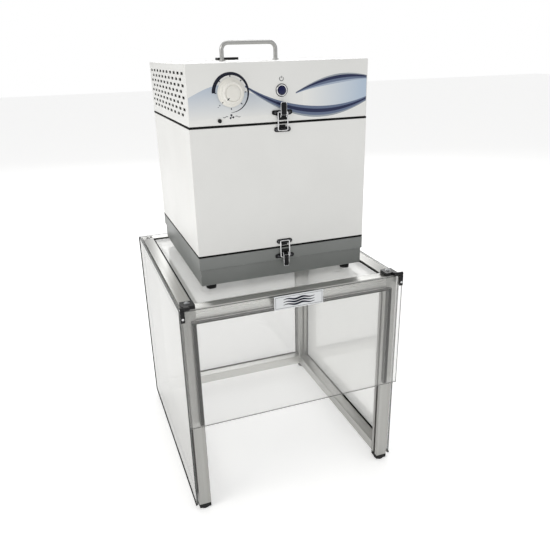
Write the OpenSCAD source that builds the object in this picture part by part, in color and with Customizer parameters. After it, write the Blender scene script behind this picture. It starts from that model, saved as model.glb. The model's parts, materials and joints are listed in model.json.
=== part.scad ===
// Ductless fume hood: a clear bench enclosure with a flip-up sash, and a
// three-section filter and blower unit that stands on its roof panel.
// Units are millimetres. X runs to the right, Y to the back and Z up.

/* [Enclosure] */
// Width across the two front posts
frame_w = 457.2; // [400:1:620]
// Depth from the front posts to the rear posts
frame_d = 502; // [430:1:700]
// Height of the top rails above the bench
frame_h = 474.3; // [400:1:700]
// Side of the square aluminium profile
profile = 25.4; // [20:0.2:40]
// Height of each post foot
foot_h = 14; // [8:1:40]
// Thickness of the side and rear panels
panel_t = 4.5; // [3:0.5:8]
// Thickness of the foam gasket behind each panel
panel_gap = 2.5; // [1:0.5:5]
// Thickness of the roof panel
roof_t = 6; // [4:0.5:12]
// Drop of the roof panel below the top of the rails
roof_drop = 3; // [0:0.5:6]
// Gap around the roof panel, filled by its gasket
roof_gap = 3; // [1:0.5:6]

/* [Sash] */
// Height of the clear sash sheet
sash_h = 258; // [150:1:320]
// Thickness of the sash sheet
sash_t = 4.5; // [3:0.5:8]
// Space between the sash sheet and the frame
sash_gap = 9; // [6:0.5:14]
// Rise of the sash above the top rails
sash_rise = 2.7; // [1:0.1:5]
// Width of the seal beside each post
seal_w = 8.4; // [5:0.2:12]
// Radius of each sash hinge pin
hinge_pin_r = 1.75; // [1:0.05:2.2]
// Radius of the hinge knuckles
knuckle_r = 3.4; // [3:0.1:5]

/* [Filter unit] */
// Width of the unit
unit_w = 356; // [300:1:420]
// Depth of the unit
unit_d = 372; // [300:1:440]
// Offset of the unit to the right of the enclosure's centre
unit_dx = 4; // [-10:1:10]
// Offset of the unit to the back of the enclosure's centre
unit_dy = 6; // [-10:1:10]
// Height of the unit's feet
unit_foot_h = 14.7; // [8:0.1:30]
// Height of the base section
base_h = 58.7; // [50:0.1:90]
// Height of the band around the top of the base
lip_h = 25.2; // [23:0.1:40]
// Step from the band in to the pan below it
lip_step = 2.2; // [1:0.1:5]
// Height of the filter housing
body_h = 240.2; // [190:0.1:400]
// Height of the control head
head_h = 105.9; // [95:0.1:160]
// Thickness of the seal between two sections
seal_t = 4; // [2:0.5:6]
// Thickness of the sheet steel
steel_t = 1.5; // [0.8:0.1:2]
// Width of the inward flanges
flange_w = 14; // [8:1:25]
// Diameter of the air inlet in the roof panel and the base
port_d = 230; // [150:1:250]

/* [Vents] */
// Rows of vent slots on each side
vent_rows = 8; // [4:1:8]
// Slots in a full row
vent_cols = 10; // [5:1:10]
// Length of a vent slot
vent_l = 22; // [8:1:24]
// Height of a vent slot
vent_h = 5.6; // [3:0.1:6]
// Spacing of the rows
vent_row_pitch = 10.2; // [7:0.1:11]

/* [Controls] */
// Diameter of the airflow knob's skirt
knob_skirt_d = 50; // [40:1:60]
// Diameter of the airflow knob's grip at its foot
knob_d = 40; // [30:1:44]
// Height of the airflow knob
knob_h = 19; // [12:1:28]
// Distance from the unit's left side to the knob
knob_x = 80.3; // [60:0.1:120]
// Distance from the unit's top down to the controls
control_drop = 50; // [40:1:60]
// Diameter of the power switch's bezel
bezel_d = 21; // [18:0.5:26]
// Travel of the power button
button_travel = 2.5; // [1:0.1:3]
// Radial clearance of the sliding and turning fits
fit = 0.05; // [0.02:0.01:0.1]

/* [Handle] */
// Distance between the handle's legs
handle_l = 117.5; // [90:0.5:160]
// Height of the handle's bar above the top
handle_rise = 35; // [28:1:60]
// Diameter of the handle's rod
handle_rod_d = 8.5; // [6:0.5:12]
// Bend radius of the handle, on the rod's centre line
handle_bend = 14; // [10:1:20]

/* [Latches] */
// Width of a latch lever
lever_w = 12.5; // [10:0.5:16]
// Length of a latch lever beyond its pivot
lever_l = 25; // [22:1:30]
// Diameter of the bail wire
bail_d = 2.4; // [1.6:0.1:3]
// Width across the wings of a latch base
wing_w = 40; // [34:1:50]
// Width of a keeper
keeper_w = 33; // [26:1:44]

/* [Blower] */
// Diameter of the impeller
impeller_d = 190; // [150:1:220]
// Height of the impeller
impeller_h = 48; // [30:1:55]
// Diameter of the motor
motor_d = 92; // [70:1:110]
// Number of impeller blades
blade_count = 7; // [5:1:11]

/* [Hidden] */
$fn = 48;

// Space kept between solids that move past each other
gap = 0.3;

// Enclosure: local frame at the left outer, front outer corner of the posts
skin = panel_gap + panel_t;
plate_t = 1.5;
front_out = sash_gap + sash_t + plate_t;
frame_y0 = (front_out - frame_d - skin) / 2;
rail_z = frame_h - profile;
roof_z = frame_h - roof_drop;
slot_open = 6.5;
slot_lip = 2;
slot_cavity_w = 11;
slot_cavity_d = 4.2;
core_r = 2.75;
corner_r = 1.2;
fastener_r = core_r - 0.05;
pad_share = 0.44;
fastener_head_r = 5;
fastener_head_h = 3.6;
fastener_l = 22;
ledge_w = 14;
ledge_t = 2;
ledge_h = 12;
gasket_lap = 8;
gasket_proud = 2.5;

// Sash: hinge axis in the enclosure's local frame
sash_top = frame_h + sash_rise;
sash_bottom = sash_top - sash_h;
hinge_y = -sash_gap - sash_t / 2;
hinge_lift = 0.8;
hinge_z = sash_top + hinge_lift + knuckle_r;
hinge_block_h = 7;
ear_x = 2;
ear_w = 10;
ear_rise = 1.5;
clip_x = gap - skin;
clip_t = 1.5;
clip_h = 22;
plate_w = 104;
plate_h = 29;

// Filter unit: local frame at the left, front, bottom corner of the base
unit_z = roof_z + unit_foot_h;
lip_z = base_h - lip_h;
body_z = base_h + seal_t;
seal2_z = body_z + body_h;
head_z = seal2_z + seal_t;
unit_h = head_z + head_h;
control_z = unit_h - control_drop;
unit_cx = unit_w / 2;
unit_cy = unit_d / 2;
deck_z = head_z + steel_t;
carbon_top = body_z + steel_t + body_h * 0.62;
filter_inset = steel_t + 1;
foot_inset = 27;
foot_r = 11.5;
seal_in = 3;
seal_out = 15;

// Vents
vent_end = 26;
vent_pitch = (unit_d - 2 * vent_end) / (vent_cols - 1);
vent_top = unit_h - 16;

// Controls
shaft_r = 3;
bush_r = 5;
skirt_t = 2.4;
barrel_r = 8;
button_r = 7.2;
button_proud = 3;
bezel_t = 2.4;
handle_z = unit_h + handle_rise;
handle_r = handle_rod_d / 2;
handle_y = unit_cy;
stud_r = 2.5;
inlet_w = 50;
inlet_d = 23;
inlet_rise = 5.5;
inlet_body_x = 12;
inlet_body_y = 7;
inlet_depth = 18;
inlet_y = unit_d - 17;
port_x = 57.3;
port_z = head_z + 8;
port_stem_r = 2.5;

// Latches: u across, v away from the joint on the lever's side, w out of the face
upper_joint = seal2_z + seal_t / 2;
lower_joint = base_h + seal_t / 2;
pivot_v = 13;
pivot_w = 5.5;
pivot_r = 1.5;
throw_r = 7;
bail_v = pivot_v + throw_r;
bail_w = 5;
bail_r = bail_d / 2;
hook_v = -13.5;
hook_w = 4;
latch_t = 1.5;
ear_u = 3;
ear_t = 1.5;
ear_r = 3.2;
flange_t = 1.2;
bail_u = 9.5;
lever_w0 = 9;
lever_t = 1.4;

// Impeller
hub_r = 12;
spindle_r = 5;
impeller_z = deck_z + 5;
motor_z = impeller_z + impeller_h + 1;
motor_h = 26;
eye_r = impeller_d * 0.36;
bracket_z = motor_z + motor_h;
bracket_x = impeller_d / 2 + 12;

// ---------- helpers ----------

module at_frame() {
    translate([-frame_w / 2, frame_y0, 0]) children();
}

module at_unit() {
    translate([unit_dx - unit_w / 2, frame_y0 + frame_d / 2 + unit_dy - unit_d / 2, unit_z]) children();
}

// A block between two opposite corners
module block(low, high) {
    translate(low) cube(high - low);
}

module rounded_square(side, r) {
    square([side, side - 2 * r], center = true);
    square([side - 2 * r, side], center = true);
    for (x = [-1, 1], y = [-1, 1])
        translate([x * (side / 2 - r), y * (side / 2 - r)]) circle(r, $fn = 24);
}

// Cross-section of the profile, with a T-slot in each face named by its angle
module profile_section(slots) {
    difference() {
        rounded_square(profile, corner_r);
        circle(core_r);
        for (a = slots) rotate(a) {
            translate([profile / 2 - slot_lip, -slot_open / 2]) square([slot_lip + 1, slot_open]);
            translate([profile / 2 - slot_lip - slot_cavity_d, -slot_cavity_w / 2])
                square([slot_cavity_d, slot_cavity_w]);
        }
    }
}

module post(x, y, slots) {
    color("silver") at_frame()
        translate([x + profile / 2, y + profile / 2, foot_h])
            linear_extrude(frame_h - foot_h) profile_section(slots);
}

// Rails along X and along Y; the single slot faces down
module rail_x(y, z) {
    color("silver") at_frame()
        translate([profile, y + profile / 2, z + profile / 2]) rotate([90, 0, 90])
            linear_extrude(frame_w - 2 * profile) profile_section([-90]);
}

module rail_y(x, z) {
    color("silver") at_frame()
        translate([x + profile / 2, frame_d - profile, z + profile / 2]) rotate([90, 0, 0])
            linear_extrude(frame_d - 2 * profile) profile_section([-90]);
}

// Rectangular ring between two corners, with walls of thickness t
module ring(low, high, t) {
    difference() {
        block(low, high);
        block([low[0] + t, low[1] + t, low[2] - 1], [high[0] - t, high[1] - t, high[2] + 1]);
    }
}

module rod(length, r) {
    cylinder(h = length, r = r);
}

// ---------- enclosure ----------

module post_front_left() {
    post(0, 0, [0, 90]);
}

module post_front_right() {
    post(frame_w - profile, 0, [180, 90]);
}

module post_rear_left() {
    post(0, frame_d - profile, [0, -90]);
}

module post_rear_right() {
    post(frame_w - profile, frame_d - profile, [180, -90]);
}

module top_rail_front() {
    rail_x(0, rail_z);
}

module top_rail_rear() {
    rail_x(frame_d - profile, rail_z);
}

module top_rail_left() {
    rail_y(0, rail_z);
}

module top_rail_right() {
    rail_y(frame_w - profile, rail_z);
}

module bottom_rail_rear() {
    rail_x(frame_d - profile, foot_h);
}

module bottom_rail_left() {
    rail_y(0, foot_h);
}

module bottom_rail_right() {
    rail_y(frame_w - profile, foot_h);
}

// One screw, its head in the post's slot and its shank in the rail's core
module rail_fastener() {
    head = slot_lip + 0.3;
    translate([0, 0, -head]) rod(fastener_l + head, fastener_r);
    translate([0, 0, -head - fastener_head_h]) rod(fastener_head_h, fastener_head_r);
}

module rail_fasteners() {
    top = rail_z + profile / 2;
    low = foot_h + profile / 2;
    half = profile / 2;
    color("dimgray") at_frame() {
        for (p = [[half, top], [frame_d - half, top], [frame_d - half, low]]) {
            translate([profile, p[0], p[1]]) rotate([0, 90, 0]) rail_fastener();
            translate([frame_w - profile, p[0], p[1]]) rotate([0, -90, 0]) rail_fastener();
        }
        for (x = [half, frame_w - half], z = [top, low]) {
            translate([x, profile, z]) rotate([-90, 0, 0]) rail_fastener();
            translate([x, frame_d - profile, z]) rotate([90, 0, 0]) rail_fastener();
        }
    }
}

// Plastic end cap with a rubber pad under each post
module post_feet() {
    cap_h = foot_h * 0.7;
    color([0.06, 0.06, 0.06]) at_frame()
        for (x = [profile / 2, frame_w - profile / 2], y = [profile / 2, frame_d - profile / 2])
            translate([x, y, 0]) {
                translate([0, 0, foot_h - cap_h]) linear_extrude(cap_h) rounded_square(profile, corner_r);
                rod(foot_h - cap_h, profile * pad_share);
            }
}

// Flat gasket frames between the profile and the side and rear panels
module gasket_frame(length) {
    inset = profile - gasket_lap;
    width = gasket_lap + gasket_proud;
    linear_extrude(panel_gap) difference() {
        translate([inset, foot_h + inset]) square([length - 2 * inset, frame_h - foot_h - 2 * inset]);
        translate([inset + width, foot_h + inset + width])
            square([length - 2 * (inset + width), frame_h - foot_h - 2 * (inset + width)]);
    }
}

module panel_gaskets() {
    color([0.05, 0.05, 0.05]) at_frame() {
        translate([-panel_gap, 0, 0]) rotate([90, 0, 90]) gasket_frame(frame_d);
        translate([frame_w, 0, 0]) rotate([90, 0, 90]) gasket_frame(frame_d);
        translate([0, frame_d + panel_gap, 0]) rotate([90, 0, 0]) gasket_frame(frame_w);
    }
}

module panel_left() {
    color([0.9, 0.93, 0.93, 0.35]) at_frame()
        block([-skin, 0, foot_h + 1], [-panel_gap, frame_d, frame_h]);
}

module panel_right() {
    color([0.9, 0.93, 0.93, 0.35]) at_frame()
        block([frame_w + panel_gap, 0, foot_h + 1], [frame_w + skin, frame_d, frame_h]);
}

module panel_rear() {
    color([0.9, 0.93, 0.93, 0.35]) at_frame()
        block([-skin, frame_d + panel_gap, foot_h + 1], [frame_w + skin, frame_d + skin, frame_h]);
}

// Four angle strips that carry the roof panel
module shelf_angle(length) {
    translate([0, 0, -ledge_h]) cube([length, ledge_t, ledge_h]);
    translate([0, 0, -ledge_t]) cube([length, ledge_w, ledge_t]);
}

module shelf_angles() {
    top = roof_z - roof_t;
    run_x = frame_w - 2 * profile;
    end = ledge_w + gap;
    run_y = frame_d - 2 * (profile + end);
    color("lightgray") at_frame() {
        translate([profile, profile, top]) shelf_angle(run_x);
        translate([frame_w - profile, frame_d - profile, top]) rotate([0, 0, 180]) shelf_angle(run_x);
        translate([profile, frame_d - profile - end, top]) rotate([0, 0, -90]) shelf_angle(run_y);
        translate([frame_w - profile, profile + end, top]) rotate([0, 0, 90]) shelf_angle(run_y);
    }
}

module roof_gasket() {
    color([0.05, 0.05, 0.05]) at_frame()
        ring([profile, profile, roof_z - roof_t], [frame_w - profile, frame_d - profile, roof_z + 1], roof_gap);
}

module roof_panel() {
    edge = profile + roof_gap;
    color([0.9, 0.93, 0.93, 0.35]) {
        difference() {
            at_frame() block([edge, edge, roof_z - roof_t], [frame_w - edge, frame_d - edge, roof_z]);
            at_unit() translate([unit_cx, unit_cy, -unit_foot_h - roof_t - 1]) rod(roof_t + 2, port_d / 2);
        }
    }
}

module intake_seal() {
    color([0.1, 0.1, 0.1]) at_unit() translate([unit_cx, unit_cy, -unit_foot_h])
        difference() {
            rod(unit_foot_h, port_d / 2 + seal_out);
            translate([0, 0, -1]) rod(unit_foot_h + 2, port_d / 2 + seal_in);
        }
}

// ---------- sash ----------

// Both hinges, the right one mirrored from the left one
module both_hinges() {
    at_frame() {
        children();
        translate([frame_w, 0, 0]) mirror([1, 0, 0]) children();
    }
}

module hinge_blocks() {
    color([0.05, 0.05, 0.05]) both_hinges() difference() {
        union() {
            translate([profile / 2, profile / 2, frame_h])
                linear_extrude(hinge_block_h) rounded_square(profile, corner_r);
            block([ear_x, hinge_y, hinge_z - knuckle_r], [ear_x + ear_w, corner_r + 1, hinge_z + ear_rise]);
            translate([ear_x, hinge_y, hinge_z]) rotate([0, 90, 0]) rod(ear_w, knuckle_r);
        }
        translate([ear_x - 1, hinge_y, hinge_z]) rotate([0, 90, 0]) rod(ear_w + 2, hinge_pin_r);
    }
}

module hinge_pins() {
    color("gainsboro") both_hinges()
        translate([clip_x, hinge_y, hinge_z]) rotate([0, 90, 0]) rod(ear_x + ear_w - clip_x, hinge_pin_r);
}

// Clip that grips the sheet's top edge, with the knuckle on it
module sash_hinges() {
    x0 = clip_x;
    x1 = ear_x - gap;
    y0 = -sash_gap - sash_t;
    color([0.07, 0.07, 0.07]) both_hinges() difference() {
        union() {
            block([x0, y0 - clip_t, sash_top - clip_h], [x1, y0, sash_top + clip_t]);
            block([x0, -sash_gap, sash_top - clip_h], [x1, -sash_gap + clip_t, sash_top + clip_t]);
            block([x0, y0 - clip_t, sash_top], [x1, -sash_gap + clip_t, sash_top + clip_t]);
            translate([x0, hinge_y, hinge_z]) rotate([0, 90, 0]) rod(x1 - x0, knuckle_r);
        }
        translate([x0 - 1, hinge_y, hinge_z]) rotate([0, 90, 0]) rod(x1 - x0 + 2, hinge_pin_r + fit);
    }
}

module sash_sheet() {
    color([0.9, 0.93, 0.93, 0.35]) at_frame()
        block([-skin, -sash_gap - sash_t, sash_bottom], [frame_w + skin, -sash_gap, sash_top]);
}

// Black seal on the back of the sheet: one strip beside each post and one under the top rail
module sash_seal() {
    inset = profile - seal_w - 2;
    top = rail_z + 0.6;
    color([0.05, 0.05, 0.05]) at_frame() {
        for (x = [inset, frame_w - inset - seal_w])
            block([x, -sash_gap, sash_bottom], [x + seal_w, -gap, top]);
        block([inset + seal_w, -sash_gap, top - 4], [frame_w - inset - seal_w, -gap, top]);
    }
}

module name_plate() {
    y1 = -sash_gap - sash_t;
    color("whitesmoke") at_frame()
        block([(frame_w - plate_w) / 2, y1 - plate_t, sash_top - plate_h], [(frame_w + plate_w) / 2, y1, sash_top]);
}

// ---------- filter unit ----------

module unit_feet() {
    color([0.08, 0.08, 0.08]) at_unit()
        for (x = [foot_inset, unit_w - foot_inset], y = [foot_inset, unit_d - foot_inset])
            translate([x, y, -unit_foot_h]) cylinder(h = unit_foot_h, r1 = foot_r - 1.5, r2 = foot_r);
}

module base_pan() {
    s = lip_step;
    wall = s + steel_t;
    color([0.47, 0.49, 0.48]) at_unit() {
        difference() {
            block([s, s, 0], [unit_w - s, unit_d - s, steel_t]);
            translate([unit_cx, unit_cy, -1]) rod(steel_t + 2, port_d / 2);
        }
        ring([s, s, 0], [unit_w - s, unit_d - s, lip_z + steel_t], steel_t);
        ring([0, 0, lip_z], [unit_w, unit_d, base_h], wall);
        ring([0, 0, base_h - steel_t], [unit_w, unit_d, base_h], flange_w);
    }
}

// Flat guard of concentric rings on three spokes
module inlet_grille() {
    rings = 7;
    step = port_d / 2 / rings;
    color("gray") at_unit() translate([unit_cx, unit_cy, steel_t]) linear_extrude(1.2) {
        difference() {
            circle(port_d / 2 + 10);
            circle(port_d / 2 - 2);
        }
        for (i = [1 : rings - 1]) difference() {
            circle(i * step + 1.4);
            circle(i * step - 1.4);
        }
        for (a = [0, 60, 120]) rotate(a) square([port_d, 5], center = true);
    }
}

module prefilter() {
    inset = lip_step + steel_t + 2;
    z0 = steel_t + 1.2;
    color("white") at_unit() block([inset, inset, z0], [unit_w - inset, unit_d - inset, z0 + 14]);
}

module lower_seal() {
    color([0.04, 0.04, 0.04]) at_unit() ring([0, 0, base_h], [unit_w, unit_d, body_z], flange_w);
}

module filter_housing() {
    color([0.93, 0.93, 0.91]) at_unit() {
        ring([0, 0, body_z], [unit_w, unit_d, seal2_z], steel_t);
        ring([0, 0, body_z], [unit_w, unit_d, body_z + steel_t], flange_w);
        ring([0, 0, seal2_z - steel_t], [unit_w, unit_d, seal2_z], flange_w);
    }
}

// Carbon cartridge: a deep frame with a recessed bed of carbon
module carbon_filter() {
    low = filter_inset;
    bed = low + 10;
    top = carbon_top;
    color([0.15, 0.15, 0.15]) at_unit() difference() {
        block([low, low, body_z + steel_t], [unit_w - low, unit_d - low, top]);
        block([bed, bed, top - 4], [unit_w - bed, unit_d - bed, top + 1]);
    }
}

// Pleated particulate filter in a square frame
module particulate_filter() {
    inset = filter_inset;
    wall = 12;
    z0 = carbon_top + 2;
    z1 = seal2_z - steel_t - 1;
    pleats = 26;
    x0 = inset + wall;
    pitch = (unit_w - 2 * x0) / pleats;
    paper = 1.2;
    top = [for (i = [0 : 2 * pleats]) [x0 + i * pitch / 2, i % 2 == 0 ? z0 + 4 : z1 - 4 - paper]];
    low = [for (i = [2 * pleats : -1 : 0]) [top[i][0], top[i][1] + 3 * paper]];
    color("ivory") at_unit() {
        ring([inset, inset, z0], [unit_w - inset, unit_d - inset, z1], wall);
        translate([0, unit_d - inset - wall, 0]) rotate([90, 0, 0])
            linear_extrude(unit_d - 2 * (inset + wall)) polygon(concat(top, low));
    }
}

module upper_seal() {
    color([0.04, 0.04, 0.04]) at_unit() ring([0, 0, seal2_z], [unit_w, unit_d, head_z], flange_w);
}

// ---------- blower ----------

module blower_deck() {
    s = steel_t + 0.2;
    color([0.75, 0.76, 0.76]) at_unit() difference() {
        block([s, s, head_z], [unit_w - s, unit_d - s, deck_z]);
        translate([unit_cx, unit_cy, head_z - 1]) rod(steel_t + 2, eye_r + 2);
    }
}

module inlet_ring() {
    r = eye_r - 3;
    color("lightgray") at_unit() translate([unit_cx, unit_cy, deck_z]) rotate_extrude() {
        translate([r, 0]) square([1.2, 10]);
        translate([r, 0]) square([14, 1.2]);
    }
}

// Backward-curved impeller with its hub and spindle
module impeller() {
    r = impeller_d / 2;
    color([0.2, 0.2, 0.22]) at_unit() translate([unit_cx, unit_cy, impeller_z]) {
        difference() {
            rod(1.6, r);
            translate([0, 0, -1]) rod(4, eye_r);
        }
        translate([0, 0, impeller_h - 2]) rod(2, r);
        translate([0, 0, impeller_h - 16]) rod(15, hub_r);
        translate([0, 0, impeller_h - 1]) rod(14, spindle_r);
        for (i = [0 : blade_count - 1]) rotate(i * 360 / blade_count) translate([eye_r + 2, 0, 1])
            rotate(-35) cube([1.6, (r - eye_r) * 1.2, impeller_h - 2]);
    }
}

module motor() {
    color([0.35, 0.36, 0.38]) at_unit() translate([unit_cx, unit_cy, motor_z]) difference() {
        rod(motor_h, motor_d / 2);
        translate([0, 0, -1]) rod(16, spindle_r + fit);
    }
}

// Bridge plate on four legs that stand on the deck
module motor_bracket() {
    leg_r = 4;
    color("lightgray") at_unit() translate([unit_cx, unit_cy, 0]) {
        block([-bracket_x - 8, -motor_d * 0.4, bracket_z], [bracket_x + 8, motor_d * 0.4, bracket_z + 2]);
        for (x = [-1, 1], y = [-1, 1])
            translate([x * bracket_x, y * motor_d * 0.3, deck_z]) rod(bracket_z - deck_z, leg_r);
    }
}

// Speed controller on its stand-offs, at the right rear of the head
module control_board() {
    board = [54, 70, 1.6];
    standoff = 8;
    top = standoff + board[2];
    color("darkgreen") at_unit() translate([unit_w - 74, unit_d - 92, deck_z]) {
        translate([0, 0, standoff]) cube(board);
        for (x = [5, board[0] - 5], y = [5, board[1] - 5]) translate([x, y, 0]) rod(standoff, 3);
        translate([14, 18, top]) rod(26, 10);
        translate([28, 8, top]) cube([20, 26, 17.4]);
        translate([12, 42, top]) cube([32, 18, 10.4]);
    }
}

// ---------- control head ----------

module vent_slot() {
    r = vent_h / 2;
    square([vent_l - vent_h, vent_h], center = true);
    for (s = [-1, 1]) translate([s * (vent_l - vent_h) / 2, 0]) circle(r, $fn = 16);
}

// A side wall as an outline in Y and Z, with its staggered slots
module vented_wall() {
    linear_extrude(steel_t) difference() {
        translate([0, head_z]) square([unit_d, head_h]);
        for (row = [0 : vent_rows - 1]) {
            short = row % 2;
            for (i = [0 : vent_cols - 1 - short])
                translate([vent_end + (i + short / 2) * vent_pitch, vent_top - row * vent_row_pitch]) vent_slot();
        }
    }
}

module control_head() {
    t = steel_t;
    color([0.94, 0.94, 0.92]) at_unit() {
        rotate([90, 0, 90]) vented_wall();
        translate([unit_w - t, 0, 0]) rotate([90, 0, 90]) vented_wall();
        difference() {
            block([0, 0, head_z], [unit_w, t, unit_h]);
            translate([knob_x, -1, control_z]) rotate([-90, 0, 0]) rod(t + 2, bush_r);
            translate([unit_cx, -1, control_z]) rotate([-90, 0, 0]) rod(t + 2, barrel_r);
            translate([port_x, -1, port_z]) rotate([-90, 0, 0]) rod(t + 2, port_stem_r);
        }
        block([0, unit_d - t, head_z], [unit_w, unit_d, unit_h]);
        difference() {
            block([0, 0, unit_h - t], [unit_w, unit_d, unit_h]);
            for (x = [-1, 1])
                translate([unit_cx + x * handle_l / 2, handle_y, unit_h - t - 1]) rod(t + 2, stud_r);
            block(
                [unit_cx - inlet_body_x, inlet_y - inlet_body_y, unit_h - t - 1],
                [unit_cx + inlet_body_x, inlet_y + inlet_body_y, unit_h + 1]
            );
        }
    }
}

module port_plug() {
    color([0.04, 0.04, 0.04]) at_unit() translate([port_x, 0, port_z]) rotate([90, 0, 0]) {
        rod(2, 3.6);
        translate([0, 0, -steel_t - 1.5]) rod(steel_t + 1.5, port_stem_r);
    }
}

// Bent rod with a stud under each leg
module handle() {
    half = handle_l / 2;
    rise = handle_rise - handle_bend;
    color("silver") at_unit() translate([unit_cx, handle_y, unit_h]) {
        for (s = [-1, 1]) {
            translate([s * half, 0, 0]) rod(rise, handle_r);
            translate([s * half, 0, 0]) rod(2, handle_r + 2.5);
            translate([s * half, 0, -steel_t - 6]) rod(steel_t + 6, stud_r);
        }
        translate([half - handle_bend, 0, rise]) rotate([90, 0, 0])
            rotate_extrude(angle = 90) translate([handle_bend, 0]) circle(handle_r);
        translate([-half + handle_bend, 0, rise]) rotate([90, 0, 0]) rotate(90)
            rotate_extrude(angle = 90) translate([handle_bend, 0]) circle(handle_r);
        translate([handle_bend - half, 0, handle_rise]) rotate([0, 90, 0])
            rod(handle_l - 2 * handle_bend, handle_r);
    }
}

// Socket in the top for a mains lead: a flange, a body below it and three blades
module power_inlet() {
    mouth_x = inlet_body_x - 1.5;
    mouth_y = inlet_body_y - 1.5;
    floor_z = 3 - inlet_depth;
    color([0.05, 0.05, 0.05]) at_unit() translate([unit_cx, inlet_y, unit_h]) {
        difference() {
            union() {
                block([-inlet_w / 2, -inlet_d / 2, 0], [inlet_w / 2, inlet_d / 2, inlet_rise]);
                block([-inlet_body_x, -inlet_body_y, -inlet_depth], [inlet_body_x, inlet_body_y, 0]);
            }
            block([-mouth_x, -mouth_y, floor_z], [mouth_x, mouth_y, inlet_rise + 1]);
        }
        for (p = [[-6, 1], [6, 1], [0, -2]])
            block([p[0] - 1, p[1] - 0.5, floor_z - 0.5], [p[0] + 1, p[1] + 0.5, -1]);
    }
}

// Potentiometer on the inside of the front wall
module speed_control() {
    color([0.25, 0.25, 0.27]) at_unit() translate([knob_x, 0, control_z]) rotate([-90, 0, 0]) difference() {
        union() {
            translate([0, 0, steel_t]) rod(11, 12);
            translate([0, 0, -2]) rod(2 + steel_t, bush_r);
        }
        translate([0, 0, -3]) rod(11, shaft_r + fit);
    }
}

// Knob with its skirt, grip and spindle; the pointer starts at the low end of the scale
module airflow_knob() {
    color("ivory") at_unit() translate([knob_x, 0, control_z]) rotate([90, 0, 0]) {
        difference() {
            union() {
                translate([0, 0, 1]) rod(skirt_t, knob_skirt_d / 2);
                translate([0, 0, 1]) cylinder(h = knob_h - 1, r1 = knob_d / 2, r2 = knob_d / 2 - 2.5);
            }
            translate([0, 0, -1]) rod(4, 6);
            rotate(135) translate([0, knob_d / 2 - 13, knob_h - 0.6])
                block([-0.6, 0, 0], [0.6, 10, 1]);
        }
        translate([0, 0, -7]) rod(10.5, shaft_r);
    }
}

// Round switch: bezel outside, barrel and nut inside
module power_switch() {
    color("gainsboro") at_unit() translate([unit_cx, 0, control_z]) rotate([90, 0, 0]) difference() {
        union() {
            rod(bezel_t, bezel_d / 2);
            translate([0, 0, -28]) rod(28, barrel_r);
            translate([0, 0, -steel_t - 4]) rod(4, bezel_d / 2);
        }
        translate([0, 0, -8]) rod(12, button_r + fit);
    }
}

module power_button() {
    color("navy") at_unit() translate([unit_cx, 0, control_z]) rotate([90, 0, 0]) {
        translate([0, 0, -8 + button_travel + gap]) rod(8 - button_travel - gap + bezel_t, button_r);
        translate([0, 0, bezel_t]) cylinder(h = button_proud - 1, r1 = button_r, r2 = button_r - 1.2);
    }
}

// ---------- latches ----------

// Puts a latch on the front or rear face at a joint's height, pointing up or down
module at_latch(rear, z, down) {
    at_unit() translate([unit_cx, rear ? unit_d : 0, z])
        rotate([0, 0, rear ? 180 : 0]) rotate([0, down ? 180 : 0, 0]) rotate([90, 0, 0]) children();
}

module all_latches() {
    for (rear = [false, true]) {
        at_latch(rear, upper_joint, false) children();
        at_latch(rear, lower_joint, true) children();
    }
}

// Winged plate with two ears that carry the lever's pivot pin
module latch_bases() {
    half = wing_w / 2;
    color([0.06, 0.06, 0.06]) all_latches() {
        linear_extrude(latch_t) polygon([
            [-9, 5], [9, 5], [10, 13], [half - 2, 15], [half, 17], [half, 21], [half - 2, 23],
            [2 - half, 23], [-half, 21], [-half, 17], [2 - half, 15], [-10, 13]
        ]);
        for (s = [-1, 1]) {
            translate([s > 0 ? ear_u : -ear_u - ear_t, pivot_v, pivot_w]) {
                block([0, -ear_r, -pivot_w], [ear_t, ear_r, 0]);
                rotate([0, 90, 0]) rod(ear_t, ear_r);
            }
            translate([s * (half - 6), 19, latch_t]) rod(1.2, 2.6);
        }
        translate([-lever_w / 2 - 0.8, pivot_v, pivot_w]) rotate([0, 90, 0]) rod(lever_w + 1.6, pivot_r);
    }
}

// Keeper plate with the upstand that the bail pulls against
module latch_keepers() {
    half = keeper_w / 2;
    color([0.06, 0.06, 0.06]) all_latches() {
        linear_extrude(latch_t) {
            translate([-half + 4.5, hook_v - 3]) square([keeper_w - 9, 9]);
            for (s = [-1, 1]) translate([s * (half - 4.5), hook_v + 1.5]) circle(4.5);
            translate([-6, hook_v + 5]) square([12, 5]);
        }
        block([-5, hook_v + bail_r + gap, 0], [5, hook_v + bail_r + gap + 2.4, hook_w + 3]);
        for (s = [-1, 1]) translate([s * (half - 4.5), hook_v + 1.5, latch_t]) rod(0.9, 2.4);
    }
}

module latch_lever() {
    side = lever_w / 2 - flange_t;
    tip = pivot_v + lever_l;
    color([0.05, 0.05, 0.05]) difference() {
        union() {
            block([-lever_w / 2, pivot_v + 1.5, lever_w0], [lever_w / 2, tip - 3, lever_w0 + lever_t]);
            hull() {
                block([-lever_w / 2, tip - 3.2, lever_w0], [lever_w / 2, tip - 3, lever_w0 + lever_t]);
                block([-lever_w / 2 + 1.5, tip - 0.4, lever_w0 + 1], [lever_w / 2 - 1.5, tip, lever_w0 + 1 + lever_t]);
            }
            for (s = [0, 1]) mirror([s, 0, 0]) {
                block([side, pivot_v + 1.5, pivot_w], [lever_w / 2, bail_v + 3, lever_w0 + lever_t]);
                block([side, pivot_v, pivot_w - 3], [lever_w / 2, bail_v + 3, pivot_w + 3]);
                translate([side, pivot_v, pivot_w]) rotate([0, 90, 0]) rod(flange_t, ear_r);
            }
        }
        translate([-lever_w, pivot_v, pivot_w]) rotate([0, 90, 0]) rod(2 * lever_w, pivot_r + fit);
        translate([-lever_w, bail_v, bail_w]) rotate([0, 90, 0]) rod(2 * lever_w, bail_r + fit);
    }
}

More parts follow.
